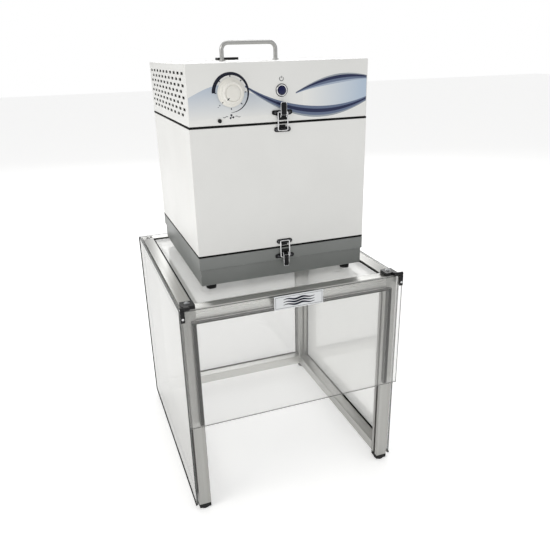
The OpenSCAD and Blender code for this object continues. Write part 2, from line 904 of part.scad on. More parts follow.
// Wire loop: two legs, a cross bar at the keeper and an inward end in each side of the lever
module latch_bail() {
    reach = bail_v - hook_v;
    tilt = atan2(hook_w - bail_w, -reach);
    leg = norm([reach, hook_w - bail_w]);
    inner = lever_w / 2 - flange_t + 0.1;
    color("gainsboro") translate([0, bail_v, bail_w]) rotate([tilt, 0, 0]) {
        for (s = [0, 1]) mirror([s, 0, 0]) {
            translate([inner, 0, 0]) rotate([0, 90, 0]) rod(bail_u - inner, bail_r);
            translate([bail_u, 0, 0]) sphere(bail_r, $fn = 24);
            translate([bail_u, 0, 0]) rotate([-90, 0, 0]) rod(leg, bail_r);
            translate([bail_u, leg, 0]) sphere(bail_r, $fn = 24);
        }
        translate([-bail_u, leg, 0]) rotate([0, 90, 0]) rod(2 * bail_u, bail_r);
    }
}

module latch_lever_front_upper() {
    at_latch(false, upper_joint, false) latch_lever();
}

module latch_lever_front_lower() {
    at_latch(false, lower_joint, true) latch_lever();
}

module latch_lever_rear_upper() {
    at_latch(true, upper_joint, false) latch_lever();
}

module latch_lever_rear_lower() {
    at_latch(true, lower_joint, true) latch_lever();
}

module latch_bail_front_upper() {
    at_latch(false, upper_joint, false) latch_bail();
}

module latch_bail_front_lower() {
    at_latch(false, lower_joint, true) latch_bail();
}

module latch_bail_rear_upper() {
    at_latch(true, upper_joint, false) latch_bail();
}

module latch_bail_rear_lower() {
    at_latch(true, lower_joint, true) latch_bail();
}

post_front_left();
post_front_right();
post_rear_left();
post_rear_right();
top_rail_front();
top_rail_rear();
top_rail_left();
top_rail_right();
bottom_rail_rear();
bottom_rail_left();
bottom_rail_right();
rail_fasteners();
post_feet();
panel_gaskets();
panel_left();
panel_right();
panel_rear();
shelf_angles();
roof_gasket();
roof_panel();
intake_seal();
hinge_blocks();
hinge_pins();
sash_hinges();
sash_sheet();
sash_seal();
name_plate();
unit_feet();
base_pan();
inlet_grille();
prefilter();
lower_seal();
filter_housing();
carbon_filter();
particulate_filter();
upper_seal();
blower_deck();
inlet_ring();
impeller();
motor();
motor_bracket();
control_board();
control_head();
handle();
power_inlet();
speed_control();
airflow_knob();
power_switch();
power_button();
port_plug();
latch_bases();
latch_keepers();
latch_lever_front_upper();
latch_lever_front_lower();
latch_lever_rear_upper();
latch_lever_rear_lower();
latch_bail_front_upper();
latch_bail_front_lower();
latch_bail_rear_upper();
latch_bail_rear_lower();
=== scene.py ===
import json
import math

import bmesh
import bpy
from mathutils import Matrix, Vector


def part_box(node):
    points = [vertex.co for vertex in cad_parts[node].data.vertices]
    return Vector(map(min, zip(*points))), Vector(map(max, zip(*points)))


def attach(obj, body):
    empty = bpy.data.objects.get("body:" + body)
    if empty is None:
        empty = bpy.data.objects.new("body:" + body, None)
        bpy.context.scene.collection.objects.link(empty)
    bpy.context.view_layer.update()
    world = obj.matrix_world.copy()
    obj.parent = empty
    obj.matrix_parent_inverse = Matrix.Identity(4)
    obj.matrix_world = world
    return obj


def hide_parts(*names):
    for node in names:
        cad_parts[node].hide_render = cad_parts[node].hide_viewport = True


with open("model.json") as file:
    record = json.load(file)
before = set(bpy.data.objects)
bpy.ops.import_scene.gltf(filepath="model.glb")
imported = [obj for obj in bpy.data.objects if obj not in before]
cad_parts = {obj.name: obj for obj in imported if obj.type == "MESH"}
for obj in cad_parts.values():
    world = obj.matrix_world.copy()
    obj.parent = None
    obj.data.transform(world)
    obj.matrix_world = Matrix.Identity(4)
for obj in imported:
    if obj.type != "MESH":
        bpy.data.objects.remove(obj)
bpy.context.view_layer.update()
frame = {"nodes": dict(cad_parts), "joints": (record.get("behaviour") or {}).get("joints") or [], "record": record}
nodes = frame["nodes"]
joints = {joint["name"]: joint for joint in frame["joints"]}
hoodCollection = bpy.context.scene.collection
print("frame loaded:", len(nodes), "nodes")


# Camera and studio

studio = {
    "cameraAt": (-0.3950, -1.2168, 0.9165),
    "turn": -19.94,
    "tilt": -22.249,
    "roll": -1.415,
    "lens": 37.6,
    "shift": (-0.0009, 0.0193),
    "floorSize": 30.0,
    "skyColour": (1.0, 1.0, 1.0),
    "skyStrength": 0.54,
    "backdropStrength": 1.0,
}
# name, place, aimed at, width, height, watts, colour
softLights = [
    ("keyLight", (-2.8, -1.0, 2.2), (0.0, 0.0, 0.5), 1.8, 1.6, 32.0, (1.0, 0.985, 0.955)),
    ("fillLight", (2.0, -2.2, 1.5), (0.0, 0.0, 0.5), 1.6, 1.6, 3.0, (0.97, 0.985, 1.0)),
    ("topLight", (0.2, 0.3, 2.9), (0.0, 0.0, 0.6), 2.0, 2.0, 12.0, (1.0, 1.0, 1.0)),
    ("backLight", (1.0, 3.2, 2.05), (0.0, 0.0, 0.5), 3.2, 1.2, 30.0, (1.0, 1.0, 1.0)),
]


def aimedMatrix(place, target):
    direction = (Vector(target) - Vector(place)).normalized()
    turned = direction.to_track_quat("-Z", "Y").to_matrix().to_4x4()
    return Matrix.Translation(place) @ turned


def makeStudio():
    data = bpy.data.cameras.new("studioCamera")
    data.lens = studio["lens"]
    data.sensor_width = 36.0
    data.shift_x, data.shift_y = studio["shift"]
    data.clip_start = 0.02
    data.clip_end = 100.0
    camera = bpy.data.objects.new("studioCamera", data)
    hoodCollection.objects.link(camera)
    camera.matrix_world = (
        Matrix.Translation(studio["cameraAt"])
        @ Matrix.Rotation(math.radians(studio["turn"]), 4, "Z")
        @ Matrix.Rotation(math.radians(90 + studio["tilt"]), 4, "X")
        @ Matrix.Rotation(math.radians(studio["roll"]), 4, "Z")
    )
    bpy.context.scene.camera = camera
    for name, place, target, width, height, watts, colour in softLights:
        lamp = bpy.data.lights.new(name, "AREA")
        lamp.shape = "RECTANGLE"
        lamp.size = width
        lamp.size_y = height
        lamp.energy = watts
        lamp.color = colour
        light = bpy.data.objects.new(name, lamp)
        hoodCollection.objects.link(light)
        light.matrix_world = aimedMatrix(place, target)
    world = bpy.data.worlds.new("studioSky")
    world.use_nodes = True
    background = world.node_tree.nodes["Background"]
    background.inputs["Color"].default_value = (*studio["skyColour"], 1.0)
    background.inputs["Strength"].default_value = studio["skyStrength"]
    backdrop = addNode(world.node_tree, "Background", Strength=studio["backdropStrength"])
    backdrop.inputs["Color"].default_value = (*studio["skyColour"], 1.0)
    seen = addNode(world.node_tree, "LightPath")
    chosen = addNode(
        world.node_tree, "MixShader",
        i0=seen.outputs["Is Camera Ray"], i1=background.outputs[0], i2=backdrop.outputs[0],
    )
    world.node_tree.links.new(chosen.outputs[0], world.node_tree.nodes["World Output"].inputs["Surface"])
    bpy.context.scene.world = world
    bpy.context.scene.view_settings.view_transform = "Standard"
    half = studio["floorSize"] / 2
    mesh = bpy.data.meshes.new("studioFloor")
    corners = [(-half, -half, 0), (half, -half, 0), (half, half, 0), (-half, half, 0)]
    mesh.from_pydata(corners, [], [(0, 1, 2, 3)])
    floor = bpy.data.objects.new("studioFloor", mesh)
    hoodCollection.objects.link(floor)
    mesh.materials.append(materialOf("floorPaint"))
    print("studio: camera and", len(softLights), "lights")


# Shader groups that several finishes share

def addSocket(tree, name, inOut, kind, value=None):
    socket = tree.interface.new_socket(name, in_out=inOut, socket_type="NodeSocket" + kind)
    if value is not None:
        socket.default_value = value


def startGroup(name, inputs, outputs):
    tree = bpy.data.node_groups.new(name, "ShaderNodeTree")
    for socketName, kind, value in inputs:
        addSocket(tree, socketName, "INPUT", kind, value)
    for socketName, kind in outputs:
        addSocket(tree, socketName, "OUTPUT", kind)
    start = tree.nodes.new("NodeGroupInput")
    end = tree.nodes.new("NodeGroupOutput")
    return tree, start, end


def addNode(tree, kind, settings=None, **inputs):
    # inputs go by name, with _ for a space, or by number as i0, i1
    if "Node" not in kind:
        kind = tree.bl_idname.replace("Tree", "") + kind
    node = tree.nodes.new(kind)
    for key, value in (settings or {}).items():
        setattr(node, key, value)
    for key, value in inputs.items():
        numbered = key[0] == "i" and key[1:].isdigit()
        socket = node.inputs[int(key[1:]) if numbered else key.replace("_", " ")]
        if isinstance(value, bpy.types.NodeSocket):
            tree.links.new(value, socket)
        else:
            socket.default_value = value
    return node


def mapped(tree, value, low, high, toLow=0.0, toHigh=1.0, settings=None):
    limits = dict(From_Min=low, From_Max=high, To_Min=toLow, To_Max=toHigh)
    return addNode(tree, "MapRange", settings, Value=value, **limits).outputs[0]


def multiplied(tree, first, second):
    return addNode(tree, "Math", {"operation": "MULTIPLY"}, i0=first, i1=second).outputs[0]


def objectPlace(tree):
    return addNode(tree, "TexCoord").outputs["Object"]


def makeEdgeWear():
    # rubbing along edges: found where a rounded-over normal leaves the true one, then broken up
    inputs = [("Radius", "Float", 0.0012), ("Breakup", "Float", 90.0)]
    tree, start, end = startGroup("edgeWear", inputs, [("Worn", "Float")])
    geometry = addNode(tree, "NewGeometry")
    rounded = addNode(tree, "Bevel", {"samples": 4}, Radius=start.outputs["Radius"])
    normals = dict(i0=rounded.outputs[0], i1=geometry.outputs["Normal"])
    agree = addNode(tree, "VectorMath", {"operation": "DOT_PRODUCT"}, **normals)
    edge = mapped(tree, agree.outputs["Value"], 0.985, 0.86)
    breakup = start.outputs["Breakup"]
    noise = addNode(tree, "TexNoise", Vector=objectPlace(tree), Scale=breakup, Detail=5.0)
    broken = mapped(tree, noise.outputs["Fac"], 0.50, 0.66)
    tree.links.new(multiplied(tree, edge, broken), end.inputs["Worn"])


def makeGrain():
    # fine skin of a coating or a moulding, and its slow change of tone
    inputs = [("Fine", "Float", 900.0), ("Broad", "Float", 9.0)]
    tree, start, end = startGroup("grain", inputs, [("Height", "Float"), ("Tone", "Float")])
    place = objectPlace(tree)
    for size, detail, result in (("Fine", 3.0, "Height"), ("Broad", 5.0, "Tone")):
        noise = addNode(tree, "TexNoise", Vector=place, Scale=start.outputs[size], Detail=detail)
        tree.links.new(noise.outputs["Fac"], end.inputs[result])


def makeBrushing():
    # long, thin drawing lines along one axis, with the odd scratch
    inputs = [("Stretch", "Vector", (600.0, 600.0, 6.0))]
    tree, start, end = startGroup("brushing", inputs, [("Lines", "Float"), ("Tone", "Float")])
    factors = dict(i0=objectPlace(tree), i1=start.outputs["Stretch"])
    scaled = addNode(tree, "VectorMath", {"operation": "MULTIPLY"}, **factors)
    lines = addNode(tree, "TexNoise", Vector=scaled.outputs[0], Scale=1.0, Detail=4.0, Roughness=0.65)
    tone = addNode(tree, "TexNoise", Vector=scaled.outputs[0], Scale=0.13, Detail=3.0)
    tree.links.new(lines.outputs["Fac"], end.inputs["Lines"])
    tree.links.new(tone.outputs["Fac"], end.inputs["Tone"])


def makeDust():
    # pale dust that settles on what faces up
    tree, start, end = startGroup("settledDust", [("Amount", "Float", 0.3)], [("Dust", "Float")])
    geometry = addNode(tree, "NewGeometry")
    parts = addNode(tree, "SeparateXYZ", Vector=geometry.outputs["Normal"])
    upward = mapped(tree, parts.outputs["Z"], 0.6, 1.0)
    patches = addNode(tree, "TexNoise", Vector=objectPlace(tree), Scale=22.0, Detail=8.0)
    laid = multiplied(tree, upward, mapped(tree, patches.outputs["Fac"], 0.40, 0.75))
    tree.links.new(multiplied(tree, laid, start.outputs["Amount"]), end.inputs["Dust"])


# Finishes: kind, base colour, the tone it drifts to, roughness, fineness of the grain, bump, and extras.
# Kinds are plain, coat, metal, brushed, rubber, foam, plastic, print, cloth and granules.
# A brushed finish gives the axis of its lines in place of the fineness.
ink = {"shine": 0.2}
finishes = {
    "floorPaint": ("plain", (0.93, 0.93, 0.925), (0.91, 0.91, 0.905), 0.7, 300, 0.05,
        dict(glow=0.42, shine=0.2)),
    "whiteCoat": ("coat", (0.80, 0.80, 0.78), (0.765, 0.765, 0.745), 0.36, 950, 0.10,
        dict(wear=(0.62, 0.62, 0.60), dust=0.25)),
    "greyCoat": ("coat", (0.215, 0.226, 0.218), (0.190, 0.200, 0.192), 0.42, 950, 0.12,
        dict(wear=(0.42, 0.43, 0.42), dust=0.25)),
    # near-black painted shade for the head's inner faces, so its vent slots read dark
    "innerCoat": ("coat", (0.018, 0.018, 0.018), (0.012, 0.012, 0.012), 0.8, 700, 0.2, {}),
    "blackEnamel": ("plastic", (0.006, 0.006, 0.007), (0.011, 0.011, 0.012), 0.30, 700, 0.06,
        dict(wear=(0.10, 0.10, 0.11), dust=0.03, shine=0.15)),
    # the three rail metals are one brushed aluminium in three tones of painted light and shade: lightest for
    # pieces along X, darker along Y, darkest for the upright posts
    "railMetalX": ("brushed", (0.72, 0.717, 0.69), (0.61, 0.607, 0.585), 0.30, 0, 0.12, dict(metal=0.9)),
    "railMetalY": ("brushed", (0.54, 0.537, 0.515), (0.45, 0.447, 0.43), 0.30, 1, 0.12, dict(metal=0.9)),
    "railMetalZ": ("brushed", (0.44, 0.438, 0.42), (0.36, 0.358, 0.343), 0.30, 2, 0.12, dict(metal=0.9)),
    "satinSteel": ("brushed", (0.60, 0.60, 0.585), (0.50, 0.50, 0.49), 0.30, 0, 0.12, {}),
    "zincPlate": ("metal", (0.55, 0.56, 0.57), (0.42, 0.43, 0.44), 0.38, 160, 0.10, {}),
    "brightSteel": ("metal", (0.78, 0.78, 0.79), (0.70, 0.70, 0.71), 0.12, 500, 0.02, {}),
    "darkSteel": ("metal", (0.16, 0.16, 0.17), (0.10, 0.10, 0.11), 0.35, 500, 0.06, {}),
    "brassContact": ("metal", (0.72, 0.60, 0.34), (0.62, 0.50, 0.27), 0.25, 500, 0.04, {}),
    "softRubber": ("rubber", (0.009, 0.009, 0.009), (0.015, 0.015, 0.015), 0.66, 600, 0.25,
        dict(dust=0.06, shine=0.25)),
    "sealFoam": ("foam", (0.005, 0.005, 0.005), (0.010, 0.010, 0.010), 0.9, 1500, 0.5, dict(shine=0.15)),
    "blackMoulding": ("plastic", (0.008, 0.008, 0.009), (0.013, 0.013, 0.014), 0.34, 1200, 0.08,
        dict(dust=0.03, shine=0.25)),
    "ivoryMoulding": ("plastic", (0.80, 0.785, 0.735), (0.77, 0.752, 0.70), 0.34, 1100, 0.05, {}),
    "navyMoulding": ("plastic", (0.004, 0.006, 0.050), (0.006, 0.008, 0.060), 0.18, 900, 0.02,
        dict(shine=0.3)),
    "plateMoulding": ("plastic", (0.73, 0.745, 0.76), (0.69, 0.705, 0.72), 0.33, 1000, 0.04, {}),
    "motorPaint": ("coat", (0.10, 0.105, 0.11), (0.07, 0.072, 0.076), 0.45, 500, 0.2, {}),
    "boardMask": ("plastic", (0.02, 0.13, 0.05), (0.015, 0.10, 0.04), 0.3, 400, 0.06, {}),
    "filterCloth": ("cloth", (0.80, 0.80, 0.77), (0.66, 0.66, 0.63), 0.95, 700, 0.6, {}),
    "filterPaper": ("cloth", (0.80, 0.76, 0.65), (0.72, 0.68, 0.57), 0.9, 1500, 0.3, {}),
    "carbonBed": ("granules", (0.018, 0.018, 0.018), (0.055, 0.055, 0.055), 0.55, 330, 0.9, {}),
    "printNavy": ("print", (0.020, 0.026, 0.070), (0.025, 0.031, 0.080), 0.33, 1200, 0.03, ink),
    "printSlate": ("print", (0.125, 0.160, 0.250), (0.135, 0.170, 0.260), 0.33, 1200, 0.03, ink),
    "printPale": ("print", (0.36, 0.42, 0.53), (0.38, 0.44, 0.54), 0.35, 1200, 0.03, ink),
    "printGrey": ("print", (0.30, 0.335, 0.375), (0.32, 0.35, 0.39), 0.35, 1200, 0.03, ink),
    "printPaleFade": ("print", (0.40, 0.475, 0.58), (0.42, 0.49, 0.59), 0.35, 1200, 0.03,
        dict(ink, fade=(2, 0.802, 0.868, (0.80, 0.80, 0.78)))),
    "printLensFade": ("print", (0.44, 0.53, 0.65), (0.46, 0.55, 0.66), 0.35, 1200, 0.03,
        dict(ink, fade=(0, 0.050, 0.172, (0.80, 0.80, 0.78)))),
    "printBlack": ("print", (0.008, 0.010, 0.022), (0.012, 0.014, 0.027), 0.35, 1200, 0.03, ink),
}
dustColour = (0.62, 0.61, 0.58)
grainDepth = 0.0006

# Clear sheets: mostly see-through face on, more of a mirror at grazing view, with a little haze. The haze colour
# and strength are set sheet by sheet as painted light and shade: greyer on the left, rear and sash sheets, whiter
# on the right and roof sheets.
clearSheet = {"rough": 0.06, "ior": 1.49, "turnFrom": 0.20, "turnTo": 0.62}
clearTones = {
    "clearSide": dict(colour=(0.54, 0.54, 0.52), facing=0.12, grazing=0.77, mirror=0.78),
    "clearPanel": dict(colour=(0.97, 0.97, 0.95), facing=0.08, grazing=0.56, mirror=0.35),
    "clearRear": dict(colour=(0.60, 0.60, 0.585), facing=0.26, grazing=0.56, mirror=0.35),
    "clearRoof": dict(colour=(0.93, 0.93, 0.91), facing=0.07, grazing=0.48, mirror=0.05),
    "clearSash": dict(colour=(0.62, 0.62, 0.60), facing=0.15, grazing=0.66, mirror=0.55),
    # the sawn edges of every clear sheet are painted near black as painted shade
    "clearEdge": dict(colour=(0.05, 0.055, 0.053), alpha=0.78, rough=0.35),
}


def startMaterial(name):
    material = bpy.data.materials.new(name)
    material.use_nodes = True
    tree = material.node_tree
    return material, tree, tree.nodes["Principled BSDF"]


def placeGroup(tree, name, **inputs):
    group = tree.nodes.new("ShaderNodeGroup")
    group.node_tree = bpy.data.node_groups[name]
    for key, value in inputs.items():
        group.inputs[key].default_value = value
    return group


def mixColour(tree, factor, first, second, blend="MIX"):
    mixer = tree.nodes.new("ShaderNodeMix")
    mixer.data_type = "RGBA"
    mixer.blend_type = blend
    for index, value in ((0, factor), (6, first), (7, second)):
        if isinstance(value, bpy.types.NodeSocket):
            tree.links.new(value, mixer.inputs[index])
        else:
            mixer.inputs[index].default_value = value if isinstance(value, float) else (*value, 1.0)
    return mixer.outputs[2]


def spreadRange(tree, value, low, high):
    return mapped(tree, value, 0.3, 0.7, low, high)


def makeFinish(name):
    kind, base, second, rough, fine, bumpSize, extras = finishes[name]
    material, tree, shader = startMaterial(name)
    if kind == "brushed":
        stretch = [620.0, 620.0, 620.0]
        stretch[fine] = 5.0
        group = placeGroup(tree, "brushing", Stretch=stretch)
        height, tone = group.outputs["Lines"], group.outputs["Tone"]
    else:
        group = placeGroup(tree, "grain", Fine=float(fine), Broad=14.0 if kind == "cloth" else 8.0)
        height, tone = group.outputs["Height"], group.outputs["Tone"]
    colour = mixColour(tree, spreadRange(tree, tone, 0.0, 1.0), base, second)
    if kind == "brushed":
        lines = mixColour(tree, spreadRange(tree, height, 0.0, 0.35), (1.0, 1.0, 1.0), (0.72, 0.72, 0.72))
        colour = mixColour(tree, 1.0, colour, lines, "MULTIPLY")
    if kind == "granules":
        grains = addNode(tree, "TexVoronoi", Vector=objectPlace(tree), Scale=float(fine))
        height = grains.outputs["Distance"]
        colour = mixColour(tree, height, second, base)
    if "fade" in extras:
        axis, fadeFrom, fadeTo, faded = extras["fade"]
        parts = addNode(tree, "SeparateXYZ", Vector=objectPlace(tree))
        colour = mixColour(tree, mapped(tree, parts.outputs[axis], fadeFrom, fadeTo), faded, colour)
    if "wear" in extras:
        wear = placeGroup(tree, "edgeWear", Radius=0.0012, Breakup=120.0)
        colour = mixColour(tree, wear.outputs["Worn"], colour, extras["wear"])
    if "dust" in extras:
        dust = placeGroup(tree, "settledDust", Amount=extras["dust"])
        colour = mixColour(tree, dust.outputs["Dust"], colour, dustColour)
    bump = addNode(tree, "Bump", Strength=bumpSize, Distance=grainDepth, Height=height)
    tree.links.new(colour, shader.inputs["Base Color"])
    tree.links.new(spreadRange(tree, tone, rough * 0.88, min(1.0, rough * 1.15)), shader.inputs["Roughness"])
    tree.links.new(bump.outputs["Normal"], shader.inputs["Normal"])
    settings = {"Specular IOR Level": extras.get("shine", 0.5)}
    if kind in ("metal", "brushed"):
        settings["Metallic"] = extras.get("metal", 1.0)
    if kind == "coat":
        settings.update({"Coat Weight": 0.12, "Coat Roughness": 0.18})
    if kind == "cloth":
        settings["Sheen Weight"] = 0.2
    if "glow" in extras:
        settings.update({"Emission Color": (1.0, 1.0, 1.0, 1.0), "Emission Strength": extras["glow"]})
    for key, value in settings.items():
        shader.inputs[key].default_value = value
    return material


def makeClear(name):
    # thin clear sheet: little shows face on, more as it turns away; its colour is the sheet's painted light or
    # shade, and its sawn edge is hazy and painted near black as painted shade
    material, tree, shader = startMaterial(name)
    tone = clearTones[name]
    colour = tone["colour"]
    group = placeGroup(tree, "grain", Fine=420.0, Broad=6.0)
    drift = mixColour(tree, group.outputs["Tone"], colour, tuple(c * 0.96 for c in colour))
    tree.links.new(drift, shader.inputs["Base Color"])
    shader.inputs["IOR"].default_value = clearSheet["ior"]
    if "alpha" in tone:
        shader.inputs["Roughness"].default_value = tone["rough"]
        shader.inputs["Alpha"].default_value = tone["alpha"]
        return material
    shader.inputs["Metallic"].default_value = tone["mirror"]
    rough = clearSheet["rough"]
    smear = spreadRange(tree, group.outputs["Tone"], rough * 0.6, rough * 1.9)
    tree.links.new(smear, shader.inputs["Roughness"])
    turned = addNode(tree, "LayerWeight", Blend=0.5)    # the same from both faces of the sheet
    alpha = mapped(
        tree, turned.outputs["Facing"], clearSheet["turnFrom"], clearSheet["turnTo"],
        tone["facing"], tone["grazing"], {"interpolation_type": "SMOOTHSTEP"},
    )
    tree.links.new(alpha, shader.inputs["Alpha"])
    return material


def materialOf(name):
    found = bpy.data.materials.get(name)
    if found:
        return found
    return makeClear(name) if name.startswith("clear") else makeFinish(name)


# Mesh helpers

def newPiece(name, bm, materialNames, smoothAngle=35.0):
    mesh = bpy.data.meshes.new(name)
    bm.to_mesh(mesh)
    bm.free()
    for materialName in materialNames:
        mesh.materials.append(materialOf(materialName))
    for polygon in mesh.polygons:
        polygon.use_smooth = True
    mesh.set_sharp_from_angle(angle=math.radians(smoothAngle))
    piece = bpy.data.objects.new(name, mesh)
    hoodCollection.objects.link(piece)
    return piece


def applied(piece):
    # the modifiers' result as a plain mesh
    bpy.context.view_layer.update()
    depsgraph = bpy.context.evaluated_depsgraph_get()
    mesh = bpy.data.meshes.new_from_object(piece.evaluated_get(depsgraph), depsgraph=depsgraph)
    piece.modifiers.clear()
    old = piece.data
    piece.data = mesh
    mesh.name = piece.name
    bpy.data.meshes.remove(old)
    return piece


def stripBetween(bm, low, high, materialIndex=0):
    # faces between two matching rings
    for i in range(len(low)):
        j = (i + 1) % len(low)
        bm.faces.new([low[i], low[j], high[j], high[i]]).material_index = materialIndex


def polar(centre, radius, angle):
    return (centre[0] + radius * math.cos(angle), centre[1] + radius * math.sin(angle))


def seated(piece, body, replaced=()):
    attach(piece, body)
    if replaced:
        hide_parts(*replaced)
    return piece


def finished(name, bm, finishNames, body, replaced=(), smoothAngle=35.0):
    bmesh.ops.recalc_face_normals(bm, faces=bm.faces)
    return seated(newPiece(name, bm, finishNames, smoothAngle), body, replaced)


def bodyOf(node):
    for body, members in frame["record"]["behaviour"]["bodies"].items():
        if node in members:
            return body
    raise KeyError(node)


def cadMesh(node):
    # a merged copy of a CAD node, with flat faces whole again
    bm = bmesh.new()
    bm.from_mesh(nodes[node].data)
    bmesh.ops.remove_doubles(bm, verts=bm.verts, dist=1e-6)
    bmesh.ops.dissolve_limit(bm, angle_limit=math.radians(0.5), verts=bm.verts, edges=bm.edges)
    return bm


def softened(node, width, materialName, shortest=0.0, segments=2, pick=None):
    # the CAD shape with its sharp edges broken, as a folded, cut or moulded piece has them
    bm = cadMesh(node)
    weights = bm.edges.layers.float.new("bevel_weight_edge")
    for edge in bm.edges:
        sharp = len(edge.link_faces) == 2 and edge.calc_face_angle(0) > math.radians(40)
        if sharp and edge.calc_length() > shortest:
            edge[weights] = 1.0
    names = [materialName] if isinstance(materialName, str) else list(materialName)
    piece = newPiece(node + "Shape", bm, names)
    bevel = piece.modifiers.new("brokenEdges", "BEVEL")
    bevel.width = width
    bevel.segments = segments
    bevel.limit_method = "WEIGHT"
    bevel.harden_normals = True
    bevel.miter_outer = "MITER_ARC"
    applied(piece)
    if pick:
        for polygon in piece.data.polygons:
            polygon.material_index = pick(polygon)
    return seated(piece, bodyOf(node), (node,))


latheTurns = {"Z": Matrix.Identity(3), "-Y": Matrix.Rotation(math.radians(90), 3, "X")}


def latheMesh(bm, outline, steps=48, axis="Z", centre=(0, 0, 0), materialIndex=0):
    # spins (radius, height) points into a closed skin
    turn = latheTurns[axis]
    rings = []
    for radius, height in outline:
        ring = []
        if radius < 1e-7:
            ring = [bm.verts.new(turn @ Vector((0, 0, height)) + Vector(centre))]
        else:
            for i in range(steps):
                angle = 2 * math.pi * i / steps
                point = Vector((radius * math.cos(angle), radius * math.sin(angle), height))
                ring.append(bm.verts.new(turn @ point + Vector(centre)))
        rings.append(ring)
    for low, high in zip(rings, rings[1:]):
        for i in range(steps):
            j = (i + 1) % steps
            if len(low) == 1 and len(high) == 1:
                continue
            if len(low) == 1:
                corners = [low[0], high[j], high[i]]
            elif len(high) == 1:
                corners = [low[i], low[j], high[0]]
            else:
                corners = [low[i], low[j], high[j], high[i]]
            bm.faces.new(corners).material_index = materialIndex
    return rings


def roundedCorner(centre, radius, startAngle, endAngle, count=5):
    turns = [startAngle + (endAngle - startAngle) * i / count for i in range(count + 1)]
    return [polar(centre, radius, math.radians(turn)) for turn in turns]


def tubeMesh(bm, path, radius, sides=20):
    # a round wire along a smooth list of points, with its frame carried along
    points = [Vector(p) for p in path]
    tangents = []
    for i in range(len(points)):
        before = points[max(i - 1, 0)]
        after = points[min(i + 1, len(points) - 1)]
        tangents.append((after - before).normalized())
    side = tangents[0].orthogonal().normalized()
    rings = []
    for point, tangent in zip(points, tangents):
        side = (side - tangent * side.dot(tangent)).normalized()
        other = tangent.cross(side)
        ring = []
        for i in range(sides):
            angle = 2 * math.pi * i / sides
            ring.append(bm.verts.new(point + radius * (math.cos(angle) * side + math.sin(angle) * other)))
        rings.append(ring)
    for low, high in zip(rings, rings[1:]):
        stripBetween(bm, low, high)
    bm.faces.new(list(reversed(rings[0])))
    bm.faces.new(rings[-1])


def loftRings(bm, rings, materialIndex=0):
    # skins matching rings of points into a closed bar
    made = [[bm.verts.new(point) for point in ring] for ring in rings]
    for low, high in zip(made, made[1:]):
        stripBetween(bm, low, high, materialIndex)
    bm.faces.new(list(reversed(made[0]))).material_index = materialIndex
    bm.faces.new(made[-1]).material_index = materialIndex


def filletPath(points, radius, count=7):
    # replaces each inner corner of a polyline with an arc
    result = [Vector(points[0])]
    for before, corner, after in zip(points, points[1:], points[2:]):
        before, corner, after = Vector(before), Vector(corner), Vector(after)
        inward, outward = (before - corner).normalized(), (after - corner).normalized()
        half = inward.angle(outward) / 2
        reach = radius / math.tan(half)
        centre = corner + (inward + outward).normalized() * (radius / math.sin(half))
        first, last = corner + inward * reach - centre, corner + outward * reach - centre
        sweep = first.angle(last)
        axis = first.cross(last).normalized()
        for i in range(count + 1):
            result.append(centre + Matrix.Rotation(sweep * i / count, 3, axis) @ first)
    result.append(Vector(points[-1]))
    return result


# Geometry Nodes: copies of a small piece at marked points, and a perforated wall

def startNodes(name, inputs):
    tree = bpy.data.node_groups.new(name, "GeometryNodeTree")
    addSocket(tree, "Geometry", "INPUT", "Geometry")
    for socketName, kind, value in inputs:
        addSocket(tree, socketName, "INPUT", kind, value)
    addSocket(tree, "Geometry", "OUTPUT", "Geometry")
    return tree, tree.nodes.new("NodeGroupInput"), tree.nodes.new("NodeGroupOutput")


def setInputs(modifier, values):
    for item in modifier.node_group.interface.items_tree:
        if item.item_type == "SOCKET" and item.in_out == "INPUT" and item.name in values:
            modifier[item.identifier] = values[item.name]


def nodesResult(name, mesh, treeName, values):
    # what a tree makes of a mesh, as a plain mesh
    piece = bpy.data.objects.new(name, mesh)
    hoodCollection.objects.link(piece)
    modifier = piece.modifiers.new(treeName, "NODES")
    modifier.node_group = bpy.data.node_groups[treeName]
    setInputs(modifier, values)
    return applied(piece)


def makeScatter():
    # a copy of the given piece at every point, stood along the point's own normal
    inputs = [("Piece", "Object", None), ("Size", "Float", 1.0), ("Finish", "Material", None)]
    tree, start, end = startNodes("copiesAtPoints", inputs)
    info = addNode(tree, "ObjectInfo", Object=start.outputs["Piece"])
    facing = addNode(tree, "InputNamedAttribute", {"data_type": "FLOAT_VECTOR"}, Name="facing")
    direction = facing.outputs["Attribute"]
    turn = addNode(tree, "FunctionNodeAlignRotationToVector", {"axis": "Z"}, Vector=direction)
    points = addNode(tree, "MeshToPoints", Mesh=start.outputs["Geometry"])
    copies = addNode(
        tree, "InstanceOnPoints", Points=points.outputs[0], Instance=info.outputs["Geometry"],
        Rotation=turn.outputs[0], Scale=start.outputs["Size"],
    )
    real = addNode(tree, "RealizeInstances", Geometry=copies.outputs[0])
    painted = addNode(tree, "SetMaterial", Geometry=real.outputs[0], Material=start.outputs["Finish"])
    tree.links.new(painted.outputs[0], end.inputs[0])


def scattered(name, proto, points, body, finish):
    # points: (place, facing) pairs
    mesh = bpy.data.meshes.new(name)
    mesh.from_pydata([place for place, _ in points], [], [])
    facing = mesh.attributes.new("facing", "FLOAT_VECTOR", "POINT")
    for item, (_, direction) in zip(facing.data, points):
        item.vector = direction
    values = {"Piece": proto, "Size": 1.0, "Finish": materialOf(finish)}
    piece = nodesResult(name, mesh, "copiesAtPoints", values)
    for polygon in piece.data.polygons:
        polygon.use_smooth = True
    piece.data.set_sharp_from_angle(angle=math.radians(35))
    return seated(piece, body, ())


def polarRing(bm, count, radiusAt, height):
    ring = []
    for i in range(count):
        angle = 2 * math.pi * i / count
        radius = radiusAt(angle)
        ring.append(bm.verts.new((radius * math.cos(angle), radius * math.sin(angle), height)))
    return ring


